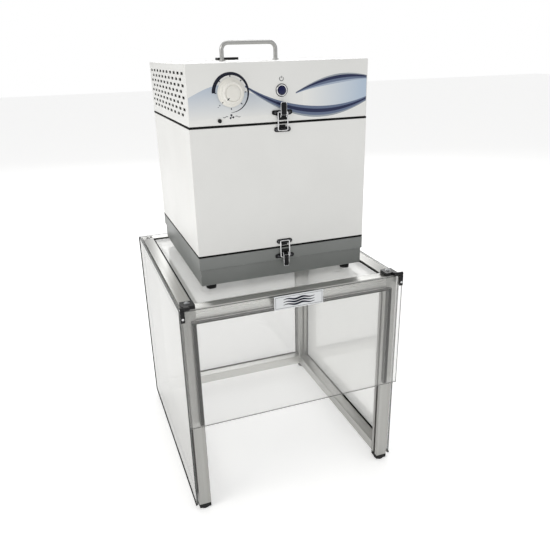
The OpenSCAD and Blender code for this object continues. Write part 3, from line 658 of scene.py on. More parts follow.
def screwProto(name, radius, height, recess, materialNames, washer=0.0):
    # a domed head with a driver recess; the head's seat is at height 0
    count = 36
    bm = bmesh.new()
    crossShape = lambda a: radius * (0.20 + 0.42 * abs(math.cos(2 * a)) ** 3)
    sixth = math.pi / 6
    hexShape = lambda a: radius * 0.50 * math.cos(sixth) / math.cos((a + sixth) % (2 * sixth) - sixth)
    recessAt = {"cross": crossShape, "hex": hexShape}[recess]
    rings = []
    if washer:
        rings.append(polarRing(bm, count, lambda a: radius * washer, 0.0))
        rings.append(polarRing(bm, count, lambda a: radius * washer, height * 0.18))
        rings.append(polarRing(bm, count, lambda a: radius * 1.02, height * 0.22))
    rings.append(polarRing(bm, count, lambda a: radius, height * (0.22 if washer else 0.0)))
    for lift, share in ((0.45, 0.995), (0.68, 0.95), (0.86, 0.86), (0.97, 0.74)):
        rings.append(polarRing(bm, count, lambda a, s=share: radius * s, height * lift))
    rings.append(polarRing(bm, count, lambda a: recessAt(a) * 1.06, height))
    rings.append(polarRing(bm, count, recessAt, height * 0.94))
    rings.append(polarRing(bm, count, lambda a: recessAt(a) * 0.86, height * 0.30))
    for low, high in zip(rings, rings[1:]):
        stripBetween(bm, low, high)
    bm.faces.new(rings[-1])
    proto = newPiece(name, bm, materialNames)
    proto.hide_render = True
    return proto


def dropProto(proto):
    mesh = proto.data
    bpy.data.objects.remove(proto)
    bpy.data.meshes.remove(mesh)


def decalMesh(bm, outline, thickness=0.00025, face=None):
    # a thin raised print on the front face: outline points are (x, z), counter-clockwise from the front
    plane = decalFace if face is None else face
    front = [bm.verts.new((x, plane - thickness, z)) for x, z in outline]
    back = [bm.verts.new((x, plane + printSunk, z)) for x, z in outline]
    bm.faces.new(front)
    stripBetween(bm, back, front)
    bm.faces.new(list(reversed(back)))


def decalStrip(bm, columns, thickness=0.00025, materialIndex=0, face=None):
    # a printed ribbon: columns are (lower point, upper point) pairs from left to right
    plane = decalFace if face is None else face
    rings = []
    for (ax, az), (bx, bz) in columns:
        front, back = plane - thickness, plane + printSunk
        corners = ((ax, front, az), (bx, front, bz), (bx, back, bz), (ax, back, az))
        rings.append([bm.verts.new(corner) for corner in corners])
    for left, right in zip(rings, rings[1:]):
        stripBetween(bm, left, right, materialIndex)
    bm.faces.new(rings[0]).material_index = materialIndex
    bm.faces.new(list(reversed(rings[-1]))).material_index = materialIndex


# Places that several pieces are set out from

headLow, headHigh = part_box("control_head")
housingLow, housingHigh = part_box("filter_housing")
knobCentre = Vector(joints["airflow_turn"]["pos_m"])
buttonLow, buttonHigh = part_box("power_button")
buttonCentre = Vector(((buttonLow.x + buttonHigh.x) / 2, headLow.y, (buttonLow.z + buttonHigh.z) / 2))
decalFace = headLow.y
printSunk = 0.00005    # how far a print reaches into the face it lies on
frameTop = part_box("post_front_left")[1].z

makeEdgeWear()
makeGrain()
makeBrushing()
makeDust()
makeScatter()
makeStudio()


# Enclosure

enclosure = {
    "profileEdge": 0.0005,
    "panelEdge": 0.0011,
    "footEdge": 0.0008,
    "blockEdge": 0.0009,
    "trimProud": 0.0011,
    "trimLap": 0.0034,
    "trimEdge": 0.0003,
}


def isSheetEdge(axis):
    # the two large faces of a sheet keep its clear finish, and the thin sides take the sawn-edge finish, painted
    # near black as painted shade
    def pick(polygon):
        return 0 if abs(polygon.normal[axis]) > 0.9 else 1
    return pick


def makeEnclosure():
    # posts and rails share one aluminium, painted darkest on the upright posts and lightest on the rails along X
    # as painted light and shade
    for node in nodes:
        if node.startswith("post_") and node != "post_feet":
            softened(node, enclosure["profileEdge"], "railMetalZ", shortest=0.003)
        if "_rail_" in node:
            metal = "railMetalX" if node.endswith(("front", "rear")) else "railMetalY"
            softened(node, enclosure["profileEdge"], metal, shortest=0.003)
    softened("post_feet", enclosure["footEdge"], "softRubber", segments=3)
    # each side, rear and roof sheet takes its own clear tone of painted light or shade
    softened("panel_left", enclosure["panelEdge"], ("clearSide", "clearEdge"), pick=isSheetEdge(0))
    softened("panel_right", enclosure["panelEdge"], ("clearPanel", "clearEdge"), pick=isSheetEdge(0))
    softened("panel_rear", enclosure["panelEdge"], ("clearRear", "clearEdge"), pick=isSheetEdge(1))
    softened("roof_panel", enclosure["panelEdge"], ("clearRoof", "clearEdge"), pick=isSheetEdge(2))
    softened("panel_gaskets", 0.0003, "sealFoam")
    softened("roof_gasket", 0.0006, "sealFoam", segments=3)
    softened("shelf_angles", 0.0003, "railMetalX")
    softened("intake_seal", 0.0010, "sealFoam", segments=3)
    softened("hinge_blocks", enclosure["blockEdge"], "blackMoulding", segments=3, shortest=0.002)
    softened("hinge_pins", 0.0003, "brightSteel")
    print("enclosure: profiles, panels and gaskets")


def trimBar(bm, low, high):
    # a square bar between two corners, with its edges broken
    made = bmesh.ops.create_cube(bm, size=1.0)["verts"]
    size, middle = high - low, (high + low) / 2
    for vert in made:
        vert.co = Vector(vert.co[i] * size[i] for i in range(3)) + middle
    edges = list({edge for vert in made for edge in vert.link_edges})
    bmesh.ops.bevel(bm, geom=edges, offset=enclosure["trimEdge"], segments=2, profile=0.5, affect="EDGES")


def makePanelTrim():
    # black edging pushed over the rear and bottom edges of both side panels
    bm = bmesh.new()
    proud, lap = enclosure["trimProud"], enclosure["trimLap"]
    for node, out in (("panel_left", -1), ("panel_right", 1)):
        low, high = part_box(node)
        x0, x1 = (low.x - proud, low.x + lap / 2) if out < 0 else (high.x - lap / 2, high.x + proud)
        trimBar(bm, Vector((x0, high.y - lap, low.z - proud)), Vector((x1, high.y + proud, high.z)))
        trimBar(bm, Vector((x0, low.y, low.z - proud)), Vector((x1, high.y - lap - 0.0002, low.z + lap)))
    seated(newPiece("panelTrim", bm, ["sealFoam"]), "hood", ())


def makeSash():
    # the sash sheet's greyer clear tone is painted shade
    softened("sash_sheet", enclosure["panelEdge"], ("clearSash", "clearEdge"), pick=isSheetEdge(1))
    softened("sash_hinges", 0.0004, "blackMoulding", shortest=0.002)
    softened("sash_seal", 0.0012, "sealFoam", segments=3)
    softened("name_plate", 0.0005, "plateMoulding", segments=3)
    print("sash: sheet, seals and plate")


def makePlatePrint():
    # a thin border and three rising air strokes on the plate
    low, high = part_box("name_plate")
    face = low.y
    bm = bmesh.new()
    inset, line = 0.0025, 0.0006
    x0, x1, z0, z1 = low.x + inset, high.x - inset, low.z + inset, high.z - inset
    bars = [(x0, x1, z0, z0 + line), (x0, x1, z1 - line, z1)]
    bars += [(x0, x0 + line, z0, z1), (x1 - line, x1, z0, z1)]
    for xa, xb, za, zb in bars:
        decalMesh(bm, [(xa, za), (xb, za), (xb, zb), (xa, zb)], 0.0001, face)
    middle = (low.z + high.z) / 2
    for row in range(3):
        columns = []
        for i in range(49):
            share = i / 48
            x = low.x + 0.019 + (high.x - low.x - 0.038) * share
            z = middle + (row - 1) * 0.0056 + 0.0014 * math.sin(4 * math.pi * share)
            thick = 0.0019 * math.sin(math.pi * (0.04 + 0.92 * share)) + 0.0002
            columns.append(((x, z - thick), (x, z + thick)))
        decalStrip(bm, columns, 0.0001, 0, face)
    finished("platePrint", bm, ["printBlack"], "sash", ())


# Filter unit shells

unit = {
    "foldRadius": 0.0016,
    "sheet": 0.0015,
    "wallInset": 0.008,
    "vent": {
        "length": 0.022, "height": 0.0056, "rows": 8, "cols": 10, "rowPitch": 0.0102,
        "end": 0.026, "top": 0.016, "rimRadius": 0.00035,
    },
}


def foldedShell(name, low, high, openFaces, insetFaces, materialNames):
    # a bent sheet-metal box: open where told, with square windows left in some walls
    bm = bmesh.new()
    bmesh.ops.create_cube(bm, size=1.0)
    size, middle = high - low, (high + low) / 2
    for vert in bm.verts:
        vert.co = Vector(vert.co[i] * size[i] for i in range(3)) + middle
    fold = dict(offset=unit["foldRadius"], segments=4, profile=0.5, affect="EDGES", clamp_overlap=True)
    bmesh.ops.bevel(bm, geom=bm.edges[:], **fold)

    def facing(direction):
        direction = Vector(direction)
        picked = [f for f in bm.faces if f.normal.dot(direction) > 0.999]
        return max(picked, key=lambda f: f.calc_area())

    for direction in insetFaces:
        face = facing(direction)
        bmesh.ops.inset_region(bm, faces=[face], thickness=unit["wallInset"], use_even_offset=True)
        bmesh.ops.delete(bm, geom=[facing(direction)], context="FACES_ONLY")
    for direction in openFaces:
        bmesh.ops.delete(bm, geom=[facing(direction)], context="FACES_ONLY")
    piece = newPiece(name, bm, materialNames)
    wall = piece.modifiers.new("sheet", "SOLIDIFY")
    wall.thickness = unit["sheet"]
    wall.offset = -1.0
    wall.material_offset = 1
    applied(piece)
    piece.data.set_sharp_from_angle(angle=math.radians(35))
    return piece


def makeVentTree():
    # a flat wall with staggered rounded slots, and a rolled rim around each slot
    tree, start, end = startNodes("ventedWall", [
        ("Width", "Float", 0.3), ("Height", "Float", 0.1), ("Slot Length", "Float", 0.017),
        ("Slot Height", "Float", 0.005), ("Sheet", "Float", 0.0015), ("Rim Radius", "Float", 0.0004),
        ("Outside", "Material", None), ("Inside", "Material", None),
    ])
    given = start.outputs
    rectangle = {"mode": "RECTANGLE"}
    wallSize = dict(Width=given["Width"], Height=given["Height"])
    window = addNode(tree, "CurvePrimitiveQuadrilateral", rectangle, **wallSize)
    slotSize = dict(Width=given["Slot Length"], Height=given["Slot Height"])
    slot = addNode(tree, "CurvePrimitiveQuadrilateral", rectangle, **slotSize)
    half = addNode(tree, "ShaderNodeMath", {"operation": "MULTIPLY"}, i0=given["Slot Height"], i1=0.499)
    ends = dict(Radius=half.outputs[0], Count=5)
    rounded = addNode(tree, "FilletCurve", {"mode": "POLY"}, Curve=slot.outputs[0], **ends)
    slots = addNode(tree, "InstanceOnPoints", Points=given["Geometry"], Instance=rounded.outputs[0])
    slotCurves = addNode(tree, "RealizeInstances", Geometry=slots.outputs[0])
    outline = addNode(tree, "JoinGeometry")
    for source in (window, slotCurves):
        tree.links.new(source.outputs[0], outline.inputs[0])
    sheet = addNode(tree, "FillCurve", {"mode": "TRIANGLES"}, Curve=outline.outputs[0])
    depth = dict(Individual=False, Offset_Scale=given["Sheet"])
    thick = addNode(tree, "ExtrudeMesh", {"mode": "FACES"}, Mesh=sheet.outputs[0], **depth)
    back = addNode(tree, "FlipFaces", Mesh=sheet.outputs[0])
    front = addNode(tree, "SetMaterial", Geometry=thick.outputs["Mesh"], Material=given["Outside"])
    rear = addNode(tree, "SetMaterial", Geometry=back.outputs[0], Material=given["Inside"])
    wire = addNode(tree, "CurvePrimitiveCircle", {"mode": "RADIUS"}, Resolution=6, Radius=given["Rim Radius"])
    rim = addNode(tree, "CurveToMesh", Curve=rounded.outputs[0], Profile_Curve=wire.outputs[0])
    lift = addNode(tree, "ShaderNodeCombineXYZ", Z=given["Sheet"])
    rims = addNode(tree, "InstanceOnPoints", Points=given["Geometry"], Instance=rim.outputs[0])
    raised = addNode(tree, "TranslateInstances", Instances=rims.outputs[0], Translation=lift.outputs[0])
    realRims = addNode(tree, "RealizeInstances", Geometry=raised.outputs[0])
    rimPaint = addNode(tree, "SetMaterial", Geometry=realRims.outputs[0], Material=given["Outside"])
    whole = addNode(tree, "JoinGeometry")
    for source in (front, rear, rimPaint):
        tree.links.new(source.outputs[0], whole.inputs[0])
    tree.links.new(whole.outputs[0], end.inputs[0])


def ventedWall(name, side):
    # side: -1 left, +1 right. The wall is laid out flat, seen from outside, then stood up.
    vents = unit["vent"]
    width = headHigh.y - headLow.y - 2 * (unit["foldRadius"] + unit["wallInset"])
    height = headHigh.z - headLow.z - 2 * (unit["foldRadius"] + unit["wallInset"])
    depth = headHigh.y - headLow.y
    pitch = (depth - 2 * vents["end"]) / (vents["cols"] - 1)
    centreZ = (headHigh.z - headLow.z) / 2
    points = []
    for row in range(vents["rows"]):
        short = row % 2
        for i in range(vents["cols"] - short):
            along = vents["end"] + (i + short / 2) * pitch - depth / 2
            points.append((side * along, centreZ - vents["top"] - row * vents["rowPitch"], 0.0))
    mesh = bpy.data.meshes.new(name)
    mesh.from_pydata(points, [], [])
    piece = nodesResult(name, mesh, "ventedWall", {
        "Width": width, "Height": height, "Slot Length": vents["length"], "Slot Height": vents["height"],
        "Sheet": unit["sheet"], "Rim Radius": vents["rimRadius"],
        "Outside": materialOf("whiteCoat"), "Inside": materialOf("innerCoat"),
    })
    x = headLow.x + unit["sheet"] if side < 0 else headHigh.x - unit["sheet"]
    centre = Vector((x, (headLow.y + headHigh.y) / 2, (headLow.z + headHigh.z) / 2))
    stood = Matrix((((0, 0, side)), (side, 0, 0), (0, 1, 0))).to_4x4()
    piece.data.transform(Matrix.Translation(centre) @ stood)
    return piece


def joined(name, pieces):
    # several meshes as one piece, keeping each one's finishes
    bm = bmesh.new()
    names = []
    for piece in pieces:
        offset = []
        for material in piece.data.materials:
            label = material.name if material else "whiteCoat"
            if label not in names:
                names.append(label)
            offset.append(names.index(label))
        start = len(bm.faces)
        bm.from_mesh(piece.data)
        bm.faces.ensure_lookup_table()
        for face in bm.faces[start:]:
            face.material_index = offset[face.material_index] if offset else 0
    result = newPiece(name, bm, names)
    for piece in pieces:
        bpy.data.objects.remove(piece)
    return result


def makeShells():
    makeVentTree()
    sides = [(1, 0, 0), (-1, 0, 0)]
    # the head's inner faces are painted near black as painted shade
    box = foldedShell("headBox", headLow, headHigh, [(0, 0, -1)], sides, ["whiteCoat", "innerCoat"])
    left = ventedWall("headWallLeft", -1)
    right = ventedWall("headWallRight", 1)
    seated(joined("controlHeadShell", [box, left, right]), "hood", ("control_head",))
    softened("filter_housing", unit["foldRadius"], "whiteCoat", shortest=0.1, segments=4)
    softened("base_pan", unit["foldRadius"], "greyCoat", shortest=0.1, segments=4)
    softened("lower_seal", 0.0012, "sealFoam", shortest=0.1, segments=3)
    softened("upper_seal", 0.0012, "sealFoam", shortest=0.1, segments=3)
    softened("unit_feet", 0.0012, "softRubber", segments=3)
    print("unit: head, housing and base shells")


# Controls

controls = {
    "arcRadius": 0.0335,
    "arcThick": 0.0066,
    "arcThin": 0.0005,
    "tickFrom": 0.0266,
    "tickTo": 0.0296,
    "tickWidth": 0.0016,
    "symbolSize": 0.0042,
    "line": 0.0009,
}


def makeKnob():
    low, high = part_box("airflow_knob")
    skirt = (high.x - low.x) / 2
    front = headLow.y - low.y
    grip = 0.020
    outline = [(0.0, 0.0012), (skirt - 0.0006, 0.0012)]
    outline += roundedCorner((skirt - 0.0008, 0.0020), 0.0008, -90, 90, 6)
    outline += [(grip + 0.0018, 0.0031), (grip + 0.0006, 0.0036), (grip, 0.0048)]
    outline += [(grip - 0.0007, 0.0090), (grip - 0.0016, front - 0.0030)]
    outline += roundedCorner((grip - 0.0041, front - 0.0026), 0.0026, 5, 90, 7)
    outline += [(grip * 0.76, front - 0.0001), (grip * 0.74, front - 0.0004), (grip * 0.72, front - 0.0013)]
    outline += [(grip * 0.67, front - 0.0013), (grip * 0.65, front - 0.0004), (grip * 0.63, front - 0.0001)]
    outline += [(grip * 0.30, front - 0.0004), (0.0, front - 0.0005)]
    base = Vector((knobCentre.x, headLow.y, knobCentre.z))
    bm = bmesh.new()
    latheMesh(bm, outline, 96, "-Y", base)
    finished("airflowKnobBody", bm, ["ivoryMoulding"], "airflow_knob", ("airflow_knob",), 50)
    # pointer mark on the skirt and the grip's rim
    bm = bmesh.new()
    angle = math.radians(225)
    along = Vector((math.cos(angle), 0, math.sin(angle)))
    across = Vector((-math.sin(angle), 0, math.cos(angle)))
    for inner, outer, y0, y1, width in (
        (grip - 0.0085, grip - 0.0034, front - 0.0010, front + 0.0002, 0.0014),
        (grip + 0.0010, skirt - 0.0008, 0.0024, 0.0031, 0.0016),
    ):
        corners = []
        for distance, side in ((inner, -1), (outer, -1), (outer, 1), (inner, 1)):
            corners.append(along * distance + across * side * width / 2)
        loftRings(bm, [[base + c - Vector((0, y, 0)) for c in corners] for y in (y0, y1)])
    finished("knobPointer", bm, ["printBlack"], "airflow_knob", ())


def makeButton():
    low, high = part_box("power_button")
    radius = (high.x - low.x) / 2
    out = headLow.y - low.y
    back = headLow.y - high.y
    crownFrom = 0.0030
    outline = [(0.0, back), (radius, back), (radius, 0.0022), (radius - 0.0003, crownFrom)]
    for turn in range(8, 90, 9):
        angle = math.radians(turn)
        outline.append((radius * math.cos(angle) * 0.985, crownFrom + (out - crownFrom) * math.sin(angle)))
    outline += [(0.0, out)]
    bm = bmesh.new()
    latheMesh(bm, outline, 64, "-Y", buttonCentre)
    finished("powerButtonCap", bm, ["navyMoulding"], "power_button", ("power_button",), 60)
    switchLow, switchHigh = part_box("power_switch")
    outer = (switchHigh.x - switchLow.x) / 2
    rise = headLow.y - switchLow.y
    inner = radius + 0.00035
    wall = (inner + outer) / 2
    floor = back - 0.0036    # the pressed button stays clear of the switch behind it
    bm = bmesh.new()
    outline = [(outer, 0.0), (outer, rise * 0.35)]
    outline += roundedCorner((outer - 0.0011, rise - 0.0013), 0.0011, 10, 90, 6)
    outline += [(inner + 0.0014, rise - 0.0002), (inner + 0.0004, rise - 0.0006), (inner, rise - 0.0012)]
    outline += [(inner, floor), (wall, floor), (wall, 0.0)]
    rings = latheMesh(bm, outline, 72, "-Y", buttonCentre)
    stripBetween(bm, rings[-1], rings[0])
    edge, rim = outer - 0.0004, outer + 0.0011
    washer = [(edge, -0.0001), (rim, -0.0001), (rim, 0.0006), (rim - 0.0005, 0.0011), (edge, 0.0012)]
    latheMesh(bm, washer + [washer[0]], 72, "-Y", buttonCentre, 1)
    behind, switchBack = floor - 0.0001, -0.028
    barrel = [(0.0, switchBack), (wall, switchBack), (wall, behind), (0.0, behind)]
    latheMesh(bm, barrel, 32, "-Y", buttonCentre)
    names = ["brightSteel", "blackMoulding"]
    finished("powerSwitchBezel", bm, names, "hood", ("power_switch",), 40)


def ringOf(centre, radius, count):
    return [polar(centre, radius, 2 * math.pi * i / count) for i in range(count)]


def makeDial():
    # airflow scale: a wedge that thins clockwise from nine o'clock round to six, with ticks inside it
    bm = bmesh.new()
    centre = (knobCentre.x, knobCentre.z)
    thick, thin = controls["arcThick"], controls["arcThin"]
    outer = controls["arcRadius"] + 0.0012
    columns = []
    for i in range(61):
        share = i / 60
        angle = math.radians(180 - 270 * share)
        inner = outer - thick - (thin - thick) * share ** 1.4
        columns.append((polar(centre, inner, angle), polar(centre, outer, angle)))
    decalStrip(bm, columns)
    half = controls["tickWidth"] / 2
    for step in range(7):
        angle = math.radians(180 - 45 * step)
        corners = []
        for end, side in (("tickFrom", -1), ("tickTo", -1), ("tickTo", 1), ("tickFrom", 1)):
            corners.append(polar(polar(centre, controls[end], angle), side * half, angle + math.pi / 2))
        decalMesh(bm, corners)
    for radius, size in ((0.0300, 0.0011), (0.0342, 0.0007)):
        decalMesh(bm, ringOf(polar(centre, radius, math.radians(225)), size, 12))
    finished("airflowScale", bm, ["printBlack"], "hood", ())


def makeSymbols():
    size, line = controls["symbolSize"], controls["line"]
    # on and off sign above the button: a broken ring and a bar
    bm = bmesh.new()
    cx, cz = buttonCentre.x, buttonCentre.z + 0.0200
    turns = [math.radians(125 + 290 * i / 32) for i in range(33)]
    decalStrip(bm, [(polar((cx, cz), size - line, turn), polar((cx, cz), size, turn)) for turn in turns])
    x0, x1, z0, z1 = cx - line / 2, cx + line / 2, cz + size * 0.25, cz + size * 1.15
    decalMesh(bm, [(x0, z0), (x1, z0), (x1, z1), (x0, z1)])
    # fan sign below the scale: three swept blades around a hub, between two short bars
    fan = (knobCentre.x, knobCentre.z - 0.0418)
    for blade in range(3):
        turn = math.radians(90 + 120 * blade)
        columns = []
        for i in range(9):
            share = i / 8
            radius = size * (0.28 + 0.86 * share)
            lead = turn + 0.30 * share
            spread = 0.62 * math.sin(math.pi * (0.12 + 0.80 * share))
            columns.append((polar(fan, radius, lead - spread), polar(fan, radius, lead + spread)))
        decalStrip(bm, columns)
    decalMesh(bm, ringOf(fan, size * 0.2, 15))
    for side in (-1, 1):
        columns = []
        for i in range(13):
            share = i / 12
            x = fan[0] + side * (0.0068 + 0.0095 * share)
            z = fan[1] + 0.0010 * math.sin(2 * math.pi * share)
            columns.append(((x, z - line / 2), (x, z + line / 2)))
        decalStrip(bm, columns)
    finished("controlSymbols", bm, ["printBlack"], "hood", ())


# The coloured wave across the head's front: a pale swell on the left runs into two ribbons that part.
# Shares run from the head's left side to its right; heights are metres above its bottom edge.

wave = {
    "margin": 0.0022,
    "steps": 64,
    "swell": {
        "from": 0.0, "to": 0.66, "crest": 0.17, "spread": 0.21, "low": 0.029, "high": 0.040, "foot": 0.010,
    },
    "lower": {"from": 0.30, "to": 1.0, "curve": (0.0655, -0.1650, 0.1330), "half": (0.0008, 0.0100)},
    "upper": {"from": 0.58, "to": 1.0, "curve": (0.0500, 0.0600, -0.0370), "half": (0.0006, 0.0082)},
    # finish, and the part of the ribbon it takes, from -1 at its lower edge to 1 at its upper edge
    "lowerTones": [
        ("printGrey", -1.0, -0.62), ("printSlate", -0.66, -0.12),
        ("printNavy", -0.16, 0.55), ("printSlate", 0.5, 1.0),
    ],
    "upperTones": [
        ("printPale", -1.0, -0.55), ("printSlate", -0.6, 0.05),
        ("printNavy", 0.0, 0.72), ("printGrey", 0.68, 1.0),
    ],
    "underprint": 0.00008,    # how far the swell and the lens stand proud, and then each ribbon
    "lowerProud": 0.00012,
    "upperProud": 0.00015,
    "toneStep": 0.00002,
}


def ribbonAt(ribbon, share):
    # middle height and half width of a ribbon
    t = min(1.0, max(0.0, (share - ribbon["from"]) / (ribbon["to"] - ribbon["from"])))
    a, b, c = ribbon["curve"]
    thin, thick = ribbon["half"]
    swelling = math.sin(math.pi * min(1.0, 0.05 + t * 0.80)) ** 1.3
    return a + b * t + c * t * t, thin + (thick - thin) * swelling


def makeWave():
    bm = bmesh.new()
    names = ["printPaleFade", "printLensFade", "printPale", "printSlate", "printNavy", "printGrey"]
    x0, x1 = headLow.x + wave["margin"], headHigh.x - wave["margin"]
    lower, upper, swell = wave["lower"], wave["upper"], wave["swell"]

    def columnsOf(start, stop, lowOf, highOf):
        columns = []
        for i in range(wave["steps"] + 1):
            share = start + (stop - start) * i / wave["steps"]
            x = x0 + (x1 - x0) * share
            low, high = headLow.z + lowOf(share), headLow.z + highOf(share)
            columns.append(((x, low), (x, max(high, low + 0.0001))))
        return columns

    def swellTop(share):
        crest = swell["low"] + swell["high"] * math.exp(-(((share - swell["crest"]) / swell["spread"]) ** 2))
        if share < lower["from"]:
            return crest
        middle, half = ribbonAt(lower, share)
        blend = min(1.0, (share - lower["from"]) / 0.08)
        return crest * (1 - blend) + (middle - half * 0.8) * blend

    def swellFoot(share):
        return min(swell["foot"] + 0.004 * math.sin(3 * share), swellTop(share) - 0.0001)

    def lensTop(share):
        return max(edgeOf(upper, -0.8)(share), edgeOf(lower, 0.8)(share))

    def edgeOf(ribbon, part):
        def height(share):
            middle, half = ribbonAt(ribbon, share)
            return middle + part * half
        return height

    decalStrip(bm, columnsOf(swell["from"], swell["to"], swellFoot, swellTop), wave["underprint"], 0)
    decalStrip(bm, columnsOf(upper["from"] + 0.04, 1.0, edgeOf(lower, 0.8), lensTop), wave["underprint"], 1)
    for ribbon, name in ((lower, "lower"), (upper, "upper")):
        for index, (finish, bottom, top) in enumerate(wave[name + "Tones"]):
            columns = columnsOf(ribbon["from"], ribbon["to"], edgeOf(ribbon, bottom), edgeOf(ribbon, top))
            decalStrip(bm, columns, wave[name + "Proud"] + wave["toneStep"] * index, names.index(finish))
    finished("waveBand", bm, names, "hood", ())


# Handle and inlet

handle = {"rodRadius": 0.00425, "span": 0.1175, "bend": 0.014, "stud": 0.0025, "studDepth": 0.0075}


def makeHandle():
    low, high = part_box("handle")
    top = headHigh.z
    radius = handle["rodRadius"]
    stud, depth = handle["stud"], handle["studDepth"]
    y = (low.y + high.y) / 2
    left, right = [(low.x + high.x) / 2 + side * handle["span"] / 2 for side in (-1, 1)]
    barZ = high.z - radius
    corners = [(left, y, top), (left, y, barZ), (right, y, barZ), (right, y, top)]
    bm = bmesh.new()
    tubeMesh(bm, filletPath(corners, handle["bend"], 14), radius, 32)
    for x in (left, right):
        collar = [(0.0, 0.0), (radius + 0.0026, 0.0), (radius + 0.0026, 0.0012)]
        collar += roundedCorner((radius + 0.0018, 0.0014), 0.0008, 0, 90, 4)
        collar += [(radius + 0.0002, 0.0022), (radius + 0.0001, 0.0030), (0.0, 0.0030)]
        latheMesh(bm, collar, 40, "Z", (x, y, top))
        latheMesh(bm, [(0.0, -depth), (stud, -depth), (stud, 0.0), (0.0, 0.0)], 20, "Z", (x, y, top))
    finished("carryHandle", bm, ["satinSteel"], "hood", ("handle",), 40)


def makeInlet():
    low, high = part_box("power_inlet")
    centre = (low + high) / 2
    mouth = high.z - 0.0063

    def pick(polygon):
        away = polygon.center - centre
        inside = polygon.center.z < mouth and abs(away.x) < 0.0076 and abs(away.y) < 0.0040
        return 1 if inside and polygon.area < 4e-5 else 0

    softened("power_inlet", 0.0006, ("blackMoulding", "brassContact"), shortest=0.004, pick=pick)


# Latches

latch = {
    "gripHalf": 0.0046,
    "gripRise": 0.0013,
    "edge": 0.00035,
    "wire": 0.0012,
    "wireBend": 0.0024,
    "wireInner": 0.00515,
    "wireOut": 0.004,
    "hemAt": 0.00555,
    "hemRadius": 0.00075,
    "keeperHole": 0.012,
    "baseHole": 0.014,
    "plate": 0.0015,
}
latchSpots = ["front_upper", "front_lower", "rear_upper", "rear_lower"]


def latchPlace(spot):
    # pivot, which way is outwards, which way the lever points, and the wall it is fixed to
    pivot = Vector(joints["lever_" + spot + "_turn"]["pos_m"])
    out = -1 if spot.startswith("front") else 1
    up = 1 if spot.endswith("upper") else -1
    return pivot, out, up, housingLow.y if out < 0 else housingHigh.y


def makeLever(spot):
    # pressed channel with rolled sides, and a ribbed black grip over it
    node = "latch_lever_" + spot
    softened(node, latch["edge"], "brightSteel", shortest=0.0015)
    pivot, out, up, _ = latchPlace(spot)
    low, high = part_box(node)
    top = (low.y if out < 0 else high.y) - out * 0.0010
    tip = high.z if up > 0 else low.z
    foot = pivot.z + up * 0.0018
    length = (tip - foot) * up
    bm = bmesh.new()
    # stations along the grip: share of its length, width, height
    stations = [
        (0.0, 0.90, 0.25), (0.03, 1.0, 0.75), (0.10, 1.0, 1.0), (0.55, 1.0, 1.0),
        (0.88, 1.0, 1.05), (0.97, 0.96, 0.85), (1.0, 0.86, 0.30),
    ]
    rings = []
    for share, wide, tall in stations:
        half, z = latch["gripHalf"] * wide, foot + up * length * share
        ring = []
        for i in range(17):
            across = -1 + 2 * i / 16
            rib = 0.00022 * (0.5 + 0.5 * math.cos(3 * math.pi * across))
            height = latch["gripRise"] * tall * (1 - 0.55 * abs(across) ** 6) + rib * tall
            ring.append((pivot.x + across * half, top + out * height, z))
        rings.append(ring + [(pivot.x + half, top, z), (pivot.x - half, top, z)])
    loftRings(bm, rings, 0)
    for side in (-1, 1):
        rings = []
        for share, wide in ((-0.02, 0.5), (0.0, 0.9), (0.05, 1.0), (0.82, 1.0), (0.90, 0.7)):
            centre = Vector((pivot.x + side * latch["hemAt"], top - out * 0.0001, foot + up * length * share))
            radius = latch["hemRadius"] * wide
            ring = []
            for i in range(10):
                angle = 2 * math.pi * i / 10
                ring.append(centre + Vector((radius * math.cos(angle), radius * 1.2 * math.sin(angle), 0)))
            rings.append(ring)
        loftRings(bm, rings, 1)
    name = "grip" + spot.title().replace("_", "")
    finished(name, bm, ["blackEnamel", "brightSteel"], "lever_" + spot, (), 40)


def makeBail(spot):
    node = "latch_bail_" + spot
    _, out, up, faceY = latchPlace(spot)
    pivot = Vector(joints["bail_" + spot + "_turn"]["pos_m"])
    low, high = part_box(node)
    radius = latch["wire"]
    barY = faceY + out * latch["wireOut"]
    barZ = low.z + radius if up > 0 else high.z - radius
    reach = (high.x - low.x) / 2 - radius
    points = []
    for sign in (-1, 1):
        ends = [(pivot.x + sign * across, pivot.y, pivot.z) for across in (latch["wireInner"], reach)]
        ends.append((pivot.x + sign * reach, barY, barZ))
        points += ends if sign < 0 else list(reversed(ends))
    bm = bmesh.new()
    tubeMesh(bm, filletPath(points, latch["wireBend"], 8), radius, 14)
    name = "wire" + spot.title().replace("_", "")
    finished(name, bm, ["brightSteel"], "bail_" + spot, (node,), 50)


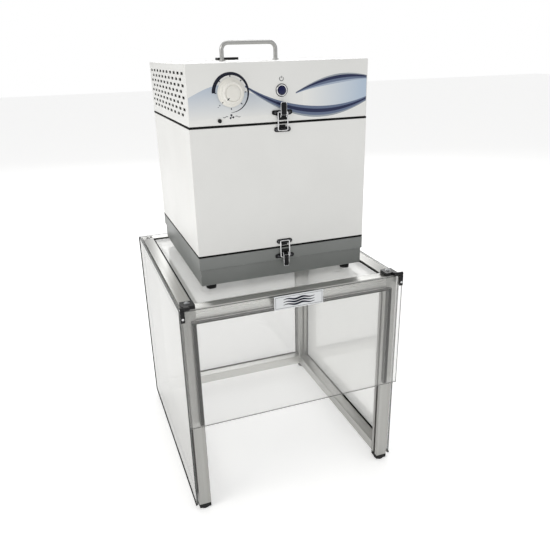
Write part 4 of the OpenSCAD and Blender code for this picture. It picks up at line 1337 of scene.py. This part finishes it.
def latchScrews():
    points = []
    for spot in latchSpots:
        pivot, out, up, faceY = latchPlace(spot)
        for side in (-1, 1):
            for across, along in ((latch["baseHole"], 0.006), (latch["keeperHole"], -0.025)):
                place = (pivot.x + side * across, faceY + out * latch["plate"], pivot.z + up * along)
                points.append((place, (0, out, 0)))
    return points


def makeLatches():
    softened("latch_bases", latch["edge"], "blackEnamel", shortest=0.0015)
    softened("latch_keepers", latch["edge"], "blackEnamel", shortest=0.0015)
    for spot in latchSpots:
        makeLever(spot)
        makeBail(spot)
    print("latches: levers, bails and keepers")


# Small fastenings

def makeFastenings():
    pan = screwProto("panProto", 0.0025, 0.0013, "cross", ["darkSteel"])
    scattered("latchScrews", pan, latchScrews(), "hood", "darkSteel")
    low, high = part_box("sash_hinges")
    points = [((x, low.y, high.z - 0.0215), (0, -1, 0)) for x in (low.x + 0.0042, high.x - 0.0042)]
    scattered("clipScrews", pan, points, "sash", "brightSteel")
    dropProto(pan)
    socket = screwProto("socketProto", 0.0040, 0.0026, "hex", ["zincPlate"], 1.35)
    points = []
    for node in ("post_front_left", "post_front_right"):
        low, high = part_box(node)
        points.append((((low.x + high.x) / 2, (low.y + high.y) / 2 + 0.003, frameTop + 0.007), (0, 0, 1)))
    scattered("hingeScrews", socket, points, "hood", "zincPlate")
    dropProto(socket)
    print("fastenings: screws placed")


# CAD pieces whose shape already says it all take a finish only
plainFinishes = {
    "rail_fasteners": "zincPlate",
    "inlet_grille": "zincPlate",
    "prefilter": "filterCloth",
    "carbon_filter": "carbonBed",
    "particulate_filter": "filterPaper",
    "blower_deck": "zincPlate",
    "inlet_ring": "zincPlate",
    "impeller": "blackMoulding",
    "motor": "motorPaint",
    "motor_bracket": "zincPlate",
    "control_board": "boardMask",
    "speed_control": "blackMoulding",
    "port_plug": "softRubber",
}


def finishPlain():
    for node, finish in plainFinishes.items():
        materials = nodes[node].data.materials
        if not materials:
            materials.append(None)
        for i in range(len(materials)):
            materials[i] = materialOf(finish)
    print("inner pieces finished:", len(plainFinishes))


for make in (
    makeEnclosure, makePanelTrim, makeSash, makePlatePrint, makeShells, makeKnob, makeButton, makeDial,
    makeSymbols, makeWave, makeHandle, makeInlet, makeLatches, makeFastenings, finishPlain,
):
    make()
print("controls, decals and trim done")
